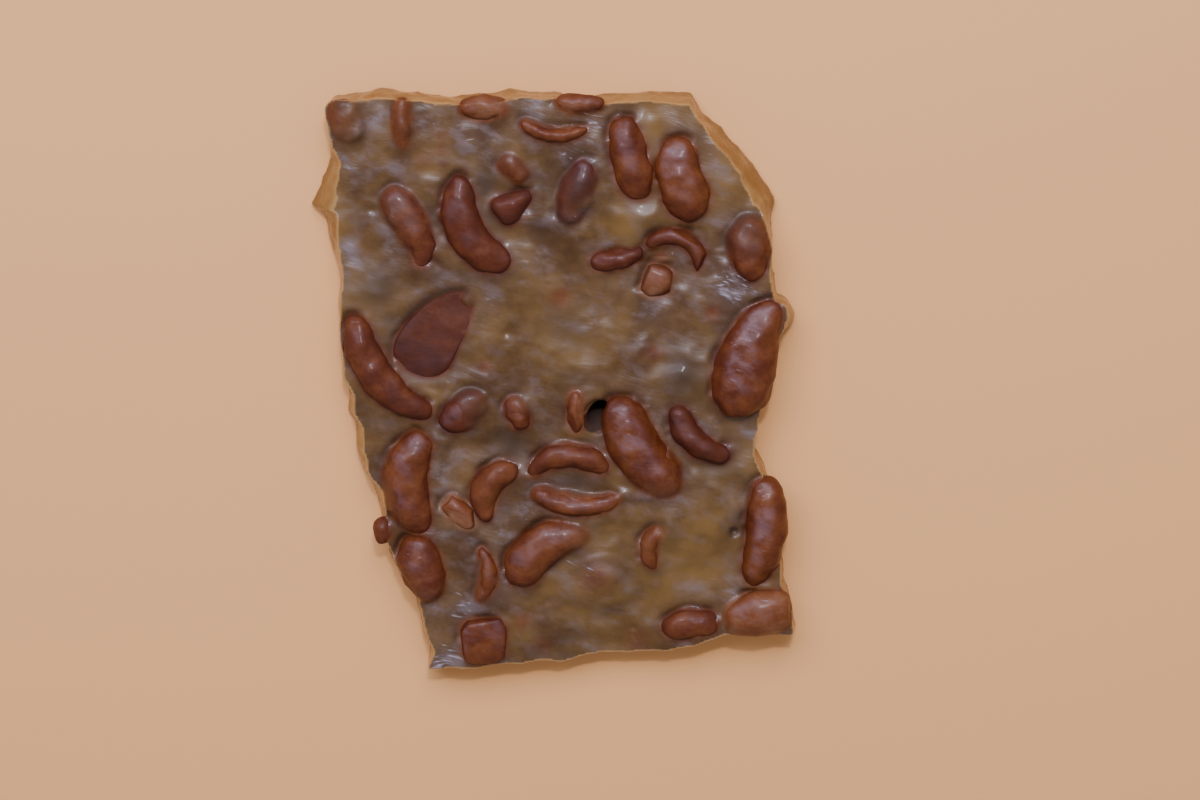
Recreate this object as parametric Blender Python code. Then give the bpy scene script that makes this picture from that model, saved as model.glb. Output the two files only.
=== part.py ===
"""Cashew brittle: one broken slab of candy with roasted cashews set in it, lying nutty face up.

The candy was poured on a flat tray, so its underside is plane, and the slab was snapped from a
larger sheet, so its sides are slanting breaks. +X is the slab's width, +Y its length and +Z the
way the nutty face looks. The origin is under the middle of the slab. Sizes are in millimetres in
the tables below, and MM turns them into metres where a mesh is made.
"""

import math
from collections import namedtuple

import bmesh
import bpy
from mathutils import Matrix, Vector, noise

MM = 0.001

# The candy sheet.
CANDY_LEVEL = 6.4          # height of the poured face between the nuts
SWELL_HEIGHT = 1.1         # how far the poured face rises and falls over the whole slab
SWELL_SPAN = 17.0          # distance from one rise to the next
SWELL_SEED = 2.7
COLLAR_HEIGHT = 0.8        # how far the candy climbs where a nut stands in it
COLLAR_REACH = 3.2         # how far that climb runs out from the nut
COLLAR_NUT = 6.0           # a nut narrower than this raises less of a collar
GRID_STEP = 3.5            # size of one facet of the poured face
BLOCK_TOP = 10.0           # height of the block that the slab is cut from
CUT_MARGIN = 4.0           # how far a cutter reaches past what it cuts
NUT_GAP = 0.3              # clearance between a nut and the pocket it sits in

# The hole through the candy, beside the broad cashew in the middle.
HOLE_PLACE = (7.7, -5.0)
HOLE_RADII = (2.2, 2.5)
HOLE_TAPER = 0.8           # lower radius over upper radius
HOLE_SIDES = 10

# The broken outline, counter-clockwise from the top left corner: x, y and lean. Lean is how far
# the rim of the poured face stands inside the outline, because the break slants outwards there.
LEFT_BREAK = [
    (-42.4, 52.4, 0.4), (-41.6, 45.0, 0.6), (-40.9, 42.6, 1.6), (-45.8, 34.1, 5.2),
    (-43.0, 31.0, 3.0), (-41.3, 24.4, 1.4), (-40.5, 21.0, 1.0), (-40.6, 9.5, 0.7),
    (-40.1, 1.8, 0.7), (-38.8, -1.2, 1.0), (-39.2, -4.8, 1.0), (-37.9, -7.4, 1.1),
    (-38.2, -11.3, 1.5), (-37.2, -16.6, 1.7), (-34.4, -20.4, 1.6), (-33.4, -23.6, 0.9),
    (-32.6, -29.3, 0.7), (-31.2, -35.0, 1.2), (-27.6, -40.8, 1.5), (-26.2, -48.3, 1.1),
    (-24.8, -51.2, 1.1),
]
LOWER_BREAK = [
    (-25.0, -55.2, 0.7), (-18.0, -54.6, 0.3), (-10.6, -53.9, 0.2), (-1.0, -53.5, 0.5),
    (8.2, -52.2, 0.6), (18.0, -51.5, 0.3), (27.0, -49.8, 0.4), (31.9, -48.2, 0.3),
    (37.4, -47.8, 0.2), (42.6, -48.1, 0.2),
]
RIGHT_BREAK = [
    (45.8, -47.5, 0.8), (44.3, -39.6, 0.6), (43.3, -37.2, 0.7), (42.6, -32.6, 0.6),
    (40.8, -27.5, 0.4), (40.6, -20.4, 0.6), (38.8, -15.2, 0.4), (37.4, -12.2, 0.3),
    (37.3, -8.6, 0.3), (38.2, -4.2, 0.5), (38.6, 1.5, 0.4), (39.8, 6.4, 0.5),
    (44.5, 13.3, 1.0), (42.9, 16.6, 0.5), (41.0, 17.2, 0.5), (40.1, 22.4, 0.5),
    (40.2, 29.0, 0.9), (40.5, 34.6, 3.4),
]
UPPER_BREAK = [
    (39.6, 37.1, 3.6), (33.4, 44.8, 1.9), (27.1, 51.0, 1.5), (24.8, 54.6, 1.2),
    (16.0, 54.9, 0.9), (6.6, 54.1, 0.7), (-3.5, 55.2, 0.8), (-12.0, 54.5, 0.6),
    (-19.5, 54.0, 0.7), (-30.0, 55.2, 0.8), (-40.4, 54.5, 0.6),
]
OUTLINE = LEFT_BREAK + LOWER_BREAK + RIGHT_BREAK + UPPER_BREAK

# The break from the tray up: height, how far it is drawn in all round, and the share of the
# lean that is reached there.
BREAK_PROFILE = [
    (0.0, 0.5, 0.0), (1.1, 0.0, 0.0), (3.8, 0.0, 0.45), (CANDY_LEVEL, 0.0, 1.0),
    (BLOCK_TOP, 0.0, 1.3),
]

# Swellings of the poured face over nuts that the candy covers: x, y, radius and height.
COVERED_NUTS = [
    (15.8, 6.8, 4.2, 0.8), (-13.2, 5.9, 2.4, 0.6), (0.8, 17.5, 3.0, 0.5),
    (23.4, 2.7, 4.0, 1.5), (9.4, -35.6, 5.0, 1.5), (24.4, -26.4, 7.5, 1.3),
    (-3.4, 47.2, 3.0, 1.0), (15.5, 31.5, 5.0, 0.8), (-4.5, -41.5, 4.0, 0.5),
]

# The cashews that show. Heading is the way from head to tip, counter-clockwise from +X, and bend
# is how far the nut turns to the left on that way, both in degrees. Tall is the nut's thickness
# over its width, rise lifts its middle above the candy, and taper narrows the tip.
Cashew = namedtuple("Cashew", "name x y heading length width bend tall rise taper kind")
CASHEWS = [
    # Along the upper break.
    Cashew("cashew_upper_corner", -38.0, 50.0, -70, 7.8, 5.6, 20, 0.8, 0.0, 0.1, "whole"),
    Cashew("cashew_upper_sliver", -27.9, 49.6, -90, 9.5, 3.2, 14, 1.2, 0.1, 0.1, "whole"),
    Cashew("cashew_upper_orange", -12.9, 52.4, -2, 9.0, 4.6, -20, 0.9, 0.2, 0.0, "whole"),
    Cashew("cashew_upper_edge", 4.4, 53.0, 0, 9.0, 3.6, 10, 1.1, 0.2, 0.1, "whole"),
    Cashew("cashew_thin_smile", -0.4, 47.4, -6, 12.6, 2.5, 70, 1.3, 0.3, 0.1, "whole"),
    Cashew("cashew_half_sunk", -7.6, 41.2, -44, 6.0, 4.3, 0, 0.8, 0.0, 0.2, "whole"),
    Cashew("cashew_pair_left", 13.5, 43.0, -76, 15.6, 7.4, 28, 0.82, 0.2, 0.0, "whole"),
    Cashew("cashew_pair_right", 22.8, 39.4, -75, 15.6, 9.0, 36, 0.76, 0.3, -0.12, "whole"),
    # Second row.
    Cashew("cashew_filmed_left", -26.0, 30.6, -65, 16.0, 6.6, -62, 0.8, 0.1, 0.1, "whole"),
    Cashew("cashew_hook", -16.3, 29.6, -62, 21.0, 7.4, 105, 0.85, 0.5, 0.0, "whole"),
    Cashew("cashew_arrowhead", -7.6, 34.5, 34, 8.2, 5.4, 12, 0.8, 0.3, 0.55, "whole"),
    Cashew("cashew_sunk_middle", 3.9, 36.9, -111, 12.4, 6.4, 16, 0.8, 0.0, 0.1, "whole"),
    Cashew("cashew_bird_wing", 11.4, 24.5, 11, 10.2, 3.8, 30, 1.0, 0.3, 0.2, "whole"),
    Cashew("cashew_bird_peak", 23.6, 28.3, -27, 15.0, 3.7, -165, 1.0, 0.4, 0.0, "whole"),
    Cashew("cashew_tan_chip", 18.5, 20.4, -21, 6.4, 5.6, 0, 0.8, 0.5, 0.0, "chip"),
    Cashew("cashew_right_filmed", 35.4, 26.4, -86, 11.2, 7.6, 28, 0.8, 0.3, 0.0, "whole"),
    # Third row.
    Cashew("cashew_crescent", -33.0, 2.5, -53, 24.8, 6.7, 80, 0.95, 0.6, 0.15, "whole"),
    Cashew("cashew_flat_half", -22.2, 10.8, 53, 18.0, 10.4, -24, 0.6, 0.2, 0.35, "half"),
    Cashew("cashew_right_drop", 35.3, 6.7, 74, 23.0, 10.8, -52, 0.68, 0.5, 0.35, "whole"),
    # Fourth row.
    Cashew("cashew_small_left", -17.4, -4.0, 38, 10.2, 6.0, -16, 0.85, 0.2, 0.1, "whole"),
    Cashew("cashew_bit", -7.3, -4.4, -67, 6.8, 4.2, 0, 0.9, 0.3, 0.0, "whole"),
    Cashew("cashew_orange_stick", 3.7, -4.0, -91, 8.4, 3.4, -20, 1.1, 0.3, 0.0, "whole"),
    Cashew("cashew_broad", 15.2, -11.5, -58, 22.2, 9.8, 58, 0.8, 0.7, 0.0, "whole"),
    Cashew("cashew_wrapped", 25.4, -9.6, -44, 15.6, 5.2, 100, 1.0, 0.2, 0.1, "whole"),
    # Fifth row.
    Cashew("cashew_kidney", -28.1, -17.5, -91, 20.6, 8.2, 95, 0.82, 0.5, 0.0, "whole"),
    Cashew("cashew_cap", -13.0, -18.1, -121, 13.6, 5.4, 150, 0.9, 0.5, 0.0, "whole"),
    Cashew("cashew_light_piece", -18.3, -23.2, -42, 8.2, 4.2, 10, 0.9, 0.4, -0.1, "whole"),
    Cashew("cashew_gable", 2.0, -12.4, 3, 16.8, 4.8, -105, 1.0, 0.4, -0.2, "whole"),
    Cashew("cashew_smile", 3.8, -22.1, -4, 17.4, 4.2, 72, 1.1, 0.3, 0.1, "whole"),
    Cashew("cashew_small_edge", -32.6, -26.8, -86, 5.2, 3.8, 30, 1.0, 0.2, 0.0, "whole"),
    # Lowest rows.
    Cashew("cashew_right_long", 39.2, -27.5, -96, 21.6, 7.8, -42, 0.95, 0.3, 0.1, "whole"),
    Cashew("cashew_lower_left", -25.4, -34.2, -73, 12.8, 8.4, 40, 0.8, 0.3, 0.05, "whole"),
    Cashew("cashew_bracket", -12.7, -35.5, -93, 11.2, 3.2, -95, 1.1, 0.3, 0.0, "whole"),
    Cashew("cashew_mitten", -2.9, -29.9, 37, 18.4, 7.8, -100, 0.85, 0.5, 0.2, "whole"),
    Cashew("cashew_comma", 17.2, -29.5, -105, 10.0, 3.3, 125, 1.1, 0.2, 0.15, "whole"),
    Cashew("cashew_cut_half", -13.8, -48.2, 5, 10.2, 9.2, 0, 0.7, 0.4, 0.1, "chip"),
    Cashew("cashew_lower_edge", 25.3, -45.3, 7, 11.0, 5.8, -40, 0.9, 0.3, 0.0, "whole"),
    Cashew("cashew_lower_corner", 38.2, -43.0, 12, 13.4, 8.8, -30, 0.8, 0.3, -0.05, "whole"),
]

END_RINGS = 3              # facets that close a nut's ends, from head to tip
FACET_LENGTH = 4.4         # further facets along a nut are about this long
NUT_SIDES = 8              # facets round a nut
SMALL_SIDES = 6            # facets round a nut that is shorter than SMALL_NUT
SMALL_NUT = 9.0
BLUNT_ENDS = 0.72          # below 1 the ends of a nut are fuller than a ball's
CHIP_CORNERS = 0.6         # below 1 a chip's section is squarer than an ellipse
FLAT_FACES = {"half": 0.22, "chip": 0.57}    # height of a flat face over the half thickness
SPINE_STEPS = 6
SPINE_SHARE = 0.8          # part of the spine that a nut's rounded ends reach out from


def clear_scene():
    """Remove what a new Blender file starts with."""
    for thing in list(bpy.data.objects):
        bpy.data.objects.remove(thing, do_unlink=True)


def make_material(name, colour, roughness):
    """A plain Principled material."""
    material = bpy.data.materials.new(name)
    material.use_nodes = True
    shader = material.node_tree.nodes["Principled BSDF"]
    shader.inputs["Base Color"].default_value = (*colour, 1.0)
    shader.inputs["Roughness"].default_value = roughness
    material.diffuse_color = (*colour, 1.0)
    return material


def make_object(name, mesh_in_progress, material, collection):
    """Turn a bmesh in millimetres into a named object in metres with faces pointing out."""
    mesh_in_progress.normal_update()
    bmesh.ops.recalc_face_normals(mesh_in_progress, faces=mesh_in_progress.faces)
    bmesh.ops.scale(mesh_in_progress, vec=(MM, MM, MM), verts=mesh_in_progress.verts)
    mesh = bpy.data.meshes.new(name)
    mesh_in_progress.to_mesh(mesh)
    mesh_in_progress.free()
    if material:
        mesh.materials.append(material)
    thing = bpy.data.objects.new(name, mesh)
    collection.objects.link(thing)
    return thing


def make_cutter(thing):
    """Show an object as a wire guide that is never rendered."""
    thing.display_type = "WIRE"
    thing.hide_render = True
    return thing


# ---------------------------------------------------------------- shape of one cashew

def spine_point(nut, along):
    """Point and heading on a nut's curved spine, for along from -1 (head) to 1 (tip)."""
    turn = math.radians(nut.bend)
    angle = turn * along / 2.0
    if abs(turn) < 0.01:
        forward = nut.length / 2.0 * along
        sideways = 0.0
    else:
        radius = nut.length / turn
        forward = radius * math.sin(angle)
        sideways = radius * (1.0 - math.cos(angle))
    heading = math.radians(nut.heading)
    x = nut.x + forward * math.cos(heading) - sideways * math.sin(heading)
    y = nut.y + forward * math.sin(heading) + sideways * math.cos(heading)
    return x, y, heading + angle


def squarer(value, power):
    """Push a value between -1 and 1 outwards, keeping its sign."""
    return math.copysign(abs(value) ** power, value)


def seat_height(nut):
    """Height of the middle of a nut: at the candy's face, lifted by the nut's own rise."""
    return poured_height(nut.x, nut.y) + nut.rise


def cashew_bmesh(nut, grow):
    """A ball drawn out along the nut's spine; grow is added all round, for the pocket."""
    body = bmesh.new()
    bmesh.ops.create_uvsphere(
        body,
        u_segments=SMALL_SIDES if nut.length < SMALL_NUT else NUT_SIDES,
        v_segments=END_RINGS + round(nut.length / FACET_LENGTH),
        radius=1.0,
    )
    half_width = nut.width / 2.0 + grow
    half_thickness = nut.width * nut.tall / 2.0 + grow
    length_share = 1.0 + 2.0 * grow / nut.length
    middle = seat_height(nut)
    for corner in body.verts:
        along = corner.co.z
        ring = math.hypot(corner.co.x, corner.co.y)
        side, top = (corner.co.x / ring, corner.co.y / ring) if ring > 1e-6 else (0.0, 0.0)
        fullness = ring ** BLUNT_ENDS * (1.0 - nut.taper * along)
        if nut.kind == "chip":
            side = squarer(side, CHIP_CORNERS)
            top = squarer(top, CHIP_CORNERS)
        if nut.kind in FLAT_FACES:
            top = min(top, FLAT_FACES[nut.kind])
        x, y, heading = spine_point(nut, along * length_share)
        offset = side * fullness * half_width
        corner.co = Vector((
            x - offset * math.sin(heading),
            y + offset * math.cos(heading),
            middle + top * fullness * half_thickness,
        ))
    return body


# ---------------------------------------------------------------- the poured face

def distance_to_nut(nut, x, y):
    """Distance in plan from a point to a nut's side, zero on the nut."""
    nearest = math.inf
    for step in range(SPINE_STEPS + 1):
        spine_x, spine_y, _ = spine_point(nut, SPINE_SHARE * (2.0 * step / SPINE_STEPS - 1.0))
        nearest = min(nearest, math.hypot(x - spine_x, y - spine_y))
    return max(0.0, nearest - nut.width / 2.0)


def poured_height(x, y):
    """Height of the candy's face between the nuts, with its swells and covered nuts."""
    height = CANDY_LEVEL
    height += SWELL_HEIGHT * noise.noise(Vector((x / SWELL_SPAN, y / SWELL_SPAN, SWELL_SEED)))
    for lump_x, lump_y, radius, lump_height in COVERED_NUTS:
        away = math.hypot(x - lump_x, y - lump_y) / radius
        height += lump_height * math.exp(-away * away)
    return height


def candy_height(x, y):
    """Height of the candy's face with the collar that climbs each nut."""
    collar = max(
        math.exp(-(distance_to_nut(nut, x, y) / COLLAR_REACH) ** 2)
        * min(1.0, nut.width / COLLAR_NUT)
        for nut in CASHEWS
    )
    return poured_height(x, y) + COLLAR_HEIGHT * collar


def poured_sheet_bmesh():
    """A block, larger than the slab, whose upper face is the poured face."""
    reach_x = max(abs(x) for x, _, _ in OUTLINE) + CUT_MARGIN
    reach_y = max(abs(y) for _, y, _ in OUTLINE) + CUT_MARGIN
    sheet = bmesh.new()
    bmesh.ops.create_grid(
        sheet,
        x_segments=round(2.0 * reach_x / GRID_STEP),
        y_segments=round(2.0 * reach_y / GRID_STEP),
        size=1.0,
    )
    for corner in sheet.verts:
        x = corner.co.x * reach_x
        y = corner.co.y * reach_y
        corner.co = Vector((x, y, candy_height(x, y)))
    rim = [edge for edge in sheet.edges if edge.is_boundary]
    skirt = bmesh.ops.extrude_edge_only(sheet, edges=rim)["geom"]
    for corner in skirt:
        if isinstance(corner, bmesh.types.BMVert):
            corner.co.z = -CUT_MARGIN
    bmesh.ops.holes_fill(sheet, edges=[edge for edge in sheet.edges if edge.is_boundary])
    bmesh.ops.triangulate(sheet, faces=sheet.faces)
    return sheet


# ---------------------------------------------------------------- the broken sides

def drawn_in(index, distance):
    """An outline point moved towards the inside of the slab by a distance."""
    x, y, _ = OUTLINE[index]
    before = OUTLINE[index - 1]
    after = OUTLINE[(index + 1) % len(OUTLINE)]
    along = Vector((after[0] - before[0], after[1] - before[1])).normalized()
    return x - along.y * distance, y + along.x * distance


def break_block_bmesh():
    """The block between the breaks: narrow at the tray, full at the foot, leaning in above."""
    block = bmesh.new()
    rings = []
    for height, drawn, lean_share in BREAK_PROFILE:
        ring = []
        for index, (_, _, lean) in enumerate(OUTLINE):
            x, y = drawn_in(index, drawn + lean * lean_share)
            ring.append(block.verts.new((x, y, height)))
        rings.append(ring)
    count = len(OUTLINE)
    for lower, upper in zip(rings, rings[1:]):
        for index in range(count):
            after = (index + 1) % count
            block.faces.new((lower[index], lower[after], upper[after], upper[index]))
    block.faces.new(list(reversed(rings[0])))
    block.faces.new(rings[-1])
    bmesh.ops.triangulate(block, faces=block.faces)
    return block


def hole_bmesh():
    """A tapering oval plug for the hole through the candy."""
    plug = bmesh.new()
    bmesh.ops.create_cone(
        plug, cap_ends=True, segments=HOLE_SIDES, radius1=HOLE_TAPER, radius2=1.0, depth=1.0)
    size = Matrix.Diagonal((*HOLE_RADII, BLOCK_TOP + CUT_MARGIN, 1.0))
    place = Matrix.Translation((*HOLE_PLACE, CANDY_LEVEL / 2.0))
    bmesh.ops.transform(plug, matrix=place @ size, verts=plug.verts)
    return plug


# ---------------------------------------------------------------- the slab

def add_boolean(thing, name, operation, other):
    """Cut or keep with one object or with a whole collection."""
    cut = thing.modifiers.new(name, "BOOLEAN")
    cut.operation = operation
    cut.solver = "EXACT"
    if isinstance(other, bpy.types.Collection):
        cut.operand_type = "COLLECTION"
        cut.collection = other
    else:
        cut.object = other


def main():
    clear_scene()
    slab = bpy.data.collections.new("cashew_brittle")
    guides = bpy.data.collections.new("guides")
    pockets = bpy.data.collections.new("pockets")
    for collection in (slab, guides, pockets):
        bpy.context.scene.collection.children.link(collection)

    candy_finish = make_material("caramel_candy", (0.30, 0.16, 0.06), 0.3)
    nut_finish = make_material("roasted_cashew", (0.23, 0.055, 0.02), 0.35)

    for nut in CASHEWS:
        make_object(nut.name, cashew_bmesh(nut, 0.0), nut_finish, slab)
        make_cutter(make_object("pocket_" + nut.name, cashew_bmesh(nut, NUT_GAP), None, pockets))
    make_cutter(make_object("pocket_hole", hole_bmesh(), None, pockets))

    outline = make_cutter(make_object("break_block", break_block_bmesh(), None, guides))
    candy = make_object("candy", poured_sheet_bmesh(), candy_finish, slab)
    add_boolean(candy, "snapped outline", "INTERSECT", outline)
    add_boolean(candy, "pockets", "DIFFERENCE", pockets)


main()
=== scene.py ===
"""The looks of the cashew brittle slab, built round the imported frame.

Every cashew of the frame becomes a smooth roasted nut. The candy becomes one poured sheet with
snapped sides: it climbs the nuts, films over some of them and lets them show through where it is
thin. Sizes are in millimetres, and MM turns them into metres where a mesh is made.
"""

import math
from collections import Counter, namedtuple

import bmesh
import bpy
import numpy as np
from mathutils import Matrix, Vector, kdtree
from mathutils.bvhtree import BVHTree
from mathutils.geometry import delaunay_2d_cdt


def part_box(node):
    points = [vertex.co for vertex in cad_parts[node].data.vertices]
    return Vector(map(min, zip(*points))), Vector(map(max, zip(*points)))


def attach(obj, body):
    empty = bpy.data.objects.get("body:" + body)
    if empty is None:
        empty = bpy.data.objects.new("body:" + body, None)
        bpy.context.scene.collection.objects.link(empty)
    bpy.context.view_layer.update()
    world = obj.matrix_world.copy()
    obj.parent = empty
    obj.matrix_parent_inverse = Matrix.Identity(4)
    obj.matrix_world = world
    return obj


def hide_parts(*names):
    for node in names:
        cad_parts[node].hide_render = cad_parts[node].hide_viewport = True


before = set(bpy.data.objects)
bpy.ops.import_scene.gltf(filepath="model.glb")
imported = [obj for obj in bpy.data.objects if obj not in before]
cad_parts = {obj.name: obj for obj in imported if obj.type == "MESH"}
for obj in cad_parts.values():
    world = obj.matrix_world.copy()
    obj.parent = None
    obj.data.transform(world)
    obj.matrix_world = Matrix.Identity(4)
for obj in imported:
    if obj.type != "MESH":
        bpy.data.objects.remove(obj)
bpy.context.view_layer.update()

MM = 0.001
PREFIX = "cashew_"
ENDING = "_nut"
WELD = 0.002               # corners of the frame's solids closer than this are one

# The candy's mesh.
STEP = 0.36                # size of one facet of the poured face
UNDER_STEP = 1.6           # size of one facet of the underside
WALL_ROWS = 15             # facets from the rim of the poured face down to the tray
WALL_SHARES = [row / WALL_ROWS for row in range(WALL_ROWS + 1)]
LOOP_GAP = 0.55            # squares keep this share of a facet away from the plan's outlines
DIMPLE_DEPTH = 0.10        # dimples of the underside
HOLE_POINTS = 40
HOLE_LEAN = 1.10           # how far the hole's foot lies towards the far end, as a share of its reach
HOLE_SKEW = 0.25           # how far the hole leans sideways with that
HOLE_MOUTH = 1.42          # its size at the poured face, as a share of the frame's hole
HOLE_NARROWS = [(0.24, 0.0, 0.25), (0.72, 0.3, 1.0)]   # by how much, from and to which share down
HOLE_LOBES = 0.05          # how far it is from round
SHARP_EDGE = 48.0          # breaks turn sharper than this many degrees stay crisp

# Levels at which the frame's candy has a ring of corners, and the share of the lean there.
OUTLINE_LEVEL = 1.1
KNEE_LEVEL = 3.8
RIM_LEVEL = 6.4
LEAN_LEVELS = (0.0, OUTLINE_LEVEL, KNEE_LEVEL, RIM_LEVEL, 10.0)
LEAN_SHARES = (0.0, 0.0, 0.45, 1.0, 1.3)
PLAIN_LEAN = 0.5
FOOT_ROUND = 0.5

# How the candy meets the nuts.
COLLAR_SHARE = 0.32        # height of the candy's collar, as a share of how far the nut stands out
COLLAR_LIMITS = (0.04, 0.50)
COLLAR_REACH = 1.5
COLLAR_LOSS = 0.85         # share of the collar that is missing on the nut's shaded side
COLLAR_GAIN = 0.2          # and how much taller it is on the other side
COLLAR_BLUR = 0.8
COLLAR_UNEVEN = 0.5
FLANK_SLOPE = 1.8          # how steeply the film falls off the side of a covered nut
COLLAR_INSIDE = 2.5        # reach of the collar over the nut's own edge
MOAT_DEPTH = 0.9
MOAT_AWAY = 0.15
MOAT_WIDTH = 0.85
MOAT_INSIDE = 2.0          # reach of the moat over the nut's own edge
MOAT_GAPS = (-0.6, 0.3)    # noise at which the moat is missing, and at which it is whole
CALM_REACH = 1.2           # ripples of the candy die out this far over a nut
FILM_UNEVEN = 0.05
FILM_SPAN = 3.4
FILM_STEEPEST = 0.35       # the film grows no thicker on skin that is steeper than this
FILM_FILLET = 0.25
EDGE_BARE = (-0.12, 0.06)  # film from which, and up to which, a nut counts as bare at its edge
TOP_BARE = (-0.15, 0.05)   # and over the rest of it
OUT_OF_WAY = 3.0           # the film's sheet sinks this far where the nut is bare
EDGE_OUT_OF_WAY = 2.0
FILM_RIPPLES = 0.6         # share of the candy's ripples that the film keeps
SILL_BLUR = 0.35
FILM_BLUR = 0.42
FACE_BLUR = 0.3
LIP_DROP = 0.8             # how far the poured face sinks at the hole
LIP_SIZE = 1.3             # size of the sunk place, as a share of the hole's
HALO_REACH = 1.7           # how far the dark halo round a nut reaches: partly darker clear candy, partly painted shade
HALO_DARK = 0.45           # how dark that is
HALO_SHADED = 0.35         # and how much darker on the nut's shaded side
MOAT_SIDE = Vector((-0.60, 0.80))
SILL_DROP = 0.05           # the candy round a bare nut starts this much under the nut's edge
SILL_SLOPE = 0.40          # and rises away from it this steeply
SILL_LIMIT = 0.70          # but it never drops more than this
CREEP = 0.70               # how far the candy climbs a nut's edge, here and there
CREEP_REACH = 0.9
BARE_GAP = 0.08            # how far a bare nut stands out of the candy that crosses it
SEE_THROUGH = 0.45         # thickness of candy that hides about two thirds of a nut's colour
SKIN_SHARE = 0.78          # share of the nut's colour in candy of no thickness
GLOW = 1.3                 # how far a faint glow of its colour reaches
GLOW_SHARE = 0.20
GLOW_END = 3.0             # nothing of the nut shows farther away than this

# Strength of the candy's tints, from 0 to 1; the hole's painted shade is darker still.
RIM_PALE = 0.85            # along the rim of a broken side
FOOT_DARK = 0.60           # along its foot
CREASE_SHADE = 0.9          # painted shade beside the nuts
CLOUD_MILK = 0.6           # in clouds all over
HOLE_SHADE = 1.25

# film: candy over the nut (above zero) or nut bare above the candy (below zero).
# tone: 0 is a dark roast, 1 a light one. fade_to and fade: the side, in degrees counter-clockwise
# from +X, towards which the film thickens, and by how much at that end.
# shine: 0 is a dull skin, 1 a shining one with a painted sheen on its lit side, facing up towards the
# window.
Dressing = namedtuple("Dressing", "film tone fade_to fade shine")
DRESSINGS = {name: Dressing(*numbers) for name, *numbers in [
    ("upper_corner", 0.42, 0.45, 0, 0.20, 0.60),
    ("upper_sliver", 0.18, 0.52, 0, 0.00, 0.40),
    ("upper_orange", 0.08, 0.68, 90, 0.15, 0.50),
    ("upper_edge", 0.16, 0.52, 90, 0.10, 0.40),
    ("thin_smile", -0.02, 0.48, 90, 0.10, 0.20),
    ("half_sunk", 0.20, 0.40, 90, 0.15, 0.10),
    ("pair_left", -0.18, 0.44, 100, 0.14, 0.50),
    ("pair_right", -0.18, 0.48, 130, 0.14, 0.60),
    ("filmed_left", 0.08, 0.38, 150, 0.16, 0.10),
    ("hook", -0.25, 0.28, 200, 0.20, 0.30),
    ("arrowhead", -0.12, 0.26, 225, 0.20, 0.00),
    ("sunk_middle", 0.16, 0.14, 250, 0.15, 0.30),
    ("bird_wing", -0.16, 0.36, 90, 0.10, 0.20),
    ("bird_peak", -0.16, 0.38, 90, 0.10, 0.50),
    ("tan_chip", -0.45, 0.86, 0, 0.00, 0.25),
    ("right_filmed", 0.12, 0.34, 110, 0.25, 0.70),
    ("crescent", -0.25, 0.34, 90, 0.10, 0.05),
    ("flat_half", -0.30, 0.36, 90, 0.05, 0.15),
    ("right_drop", -0.15, 0.42, 120, 0.15, 0.65),
    ("small_left", 0.08, 0.20, 20, 0.30, 0.40),
    ("bit", 0.02, 0.42, 90, 0.10, 0.20),
    ("orange_stick", -0.02, 0.56, 90, 0.15, 0.10),
    ("broad", -0.12, 0.43, 300, 0.32, 0.80),
    ("wrapped", -0.15, 0.27, 40, 0.15, 0.30),
    ("kidney", -0.08, 0.46, 190, 0.25, 0.50),
    ("cap", -0.20, 0.47, 90, 0.05, 0.05),
    ("light_piece", -0.05, 0.92, 100, 0.20, 0.30),
    ("gable", -0.08, 0.45, 80, 0.12, 0.15),
    ("smile", -0.02, 0.54, 90, 0.15, 0.40),
    ("small_edge", 0.02, 0.48, 0, 0.00, 0.10),
    ("right_long", -0.10, 0.48, 90, 0.15, 0.80),
    ("lower_left", -0.02, 0.46, 230, 0.25, 0.50),
    ("bracket", 0.00, 0.56, 180, 0.20, 0.60),
    ("mitten", -0.10, 0.50, 10, 0.42, 0.40),
    ("comma", -0.02, 0.62, 0, 0.25, 0.15),
    ("cut_half", -0.15, 0.58, 0, 0.10, 0.50),
    ("lower_edge", -0.08, 0.44, 90, 0.10, 0.15),
    ("lower_corner", 0.00, 0.70, 250, 0.20, 0.50),
]}

# Flat cut faces: plan direction in degrees, tilt up in degrees, and the share of the nut's reach
# that way at which it is cut off.
CUT_FACES = {
    "flat_half": [(60, 86, 0.80)],
    "tan_chip": [(262, 70, 0.86), (158, 12, 0.74), (-8, 10, 0.84), (285, 34, 0.76), (80, 8, 0.88)],
    "cut_half": [(275, 76, 0.80), (-4, 6, 0.80), (99, 8, 0.76), (142, 10, 0.84), (186, 10, 0.86)],
    "light_piece": [(240, 70, 0.74), (140, 12, 0.76), (10, 10, 0.78)],
    "lower_corner": [(5, 12, 0.86)],
    "bird_peak": [(60, 30, 0.80), (-30, 30, 0.82)],
    "orange_stick": [(200, 40, 0.70), (0, 60, 0.80)],
}

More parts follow.
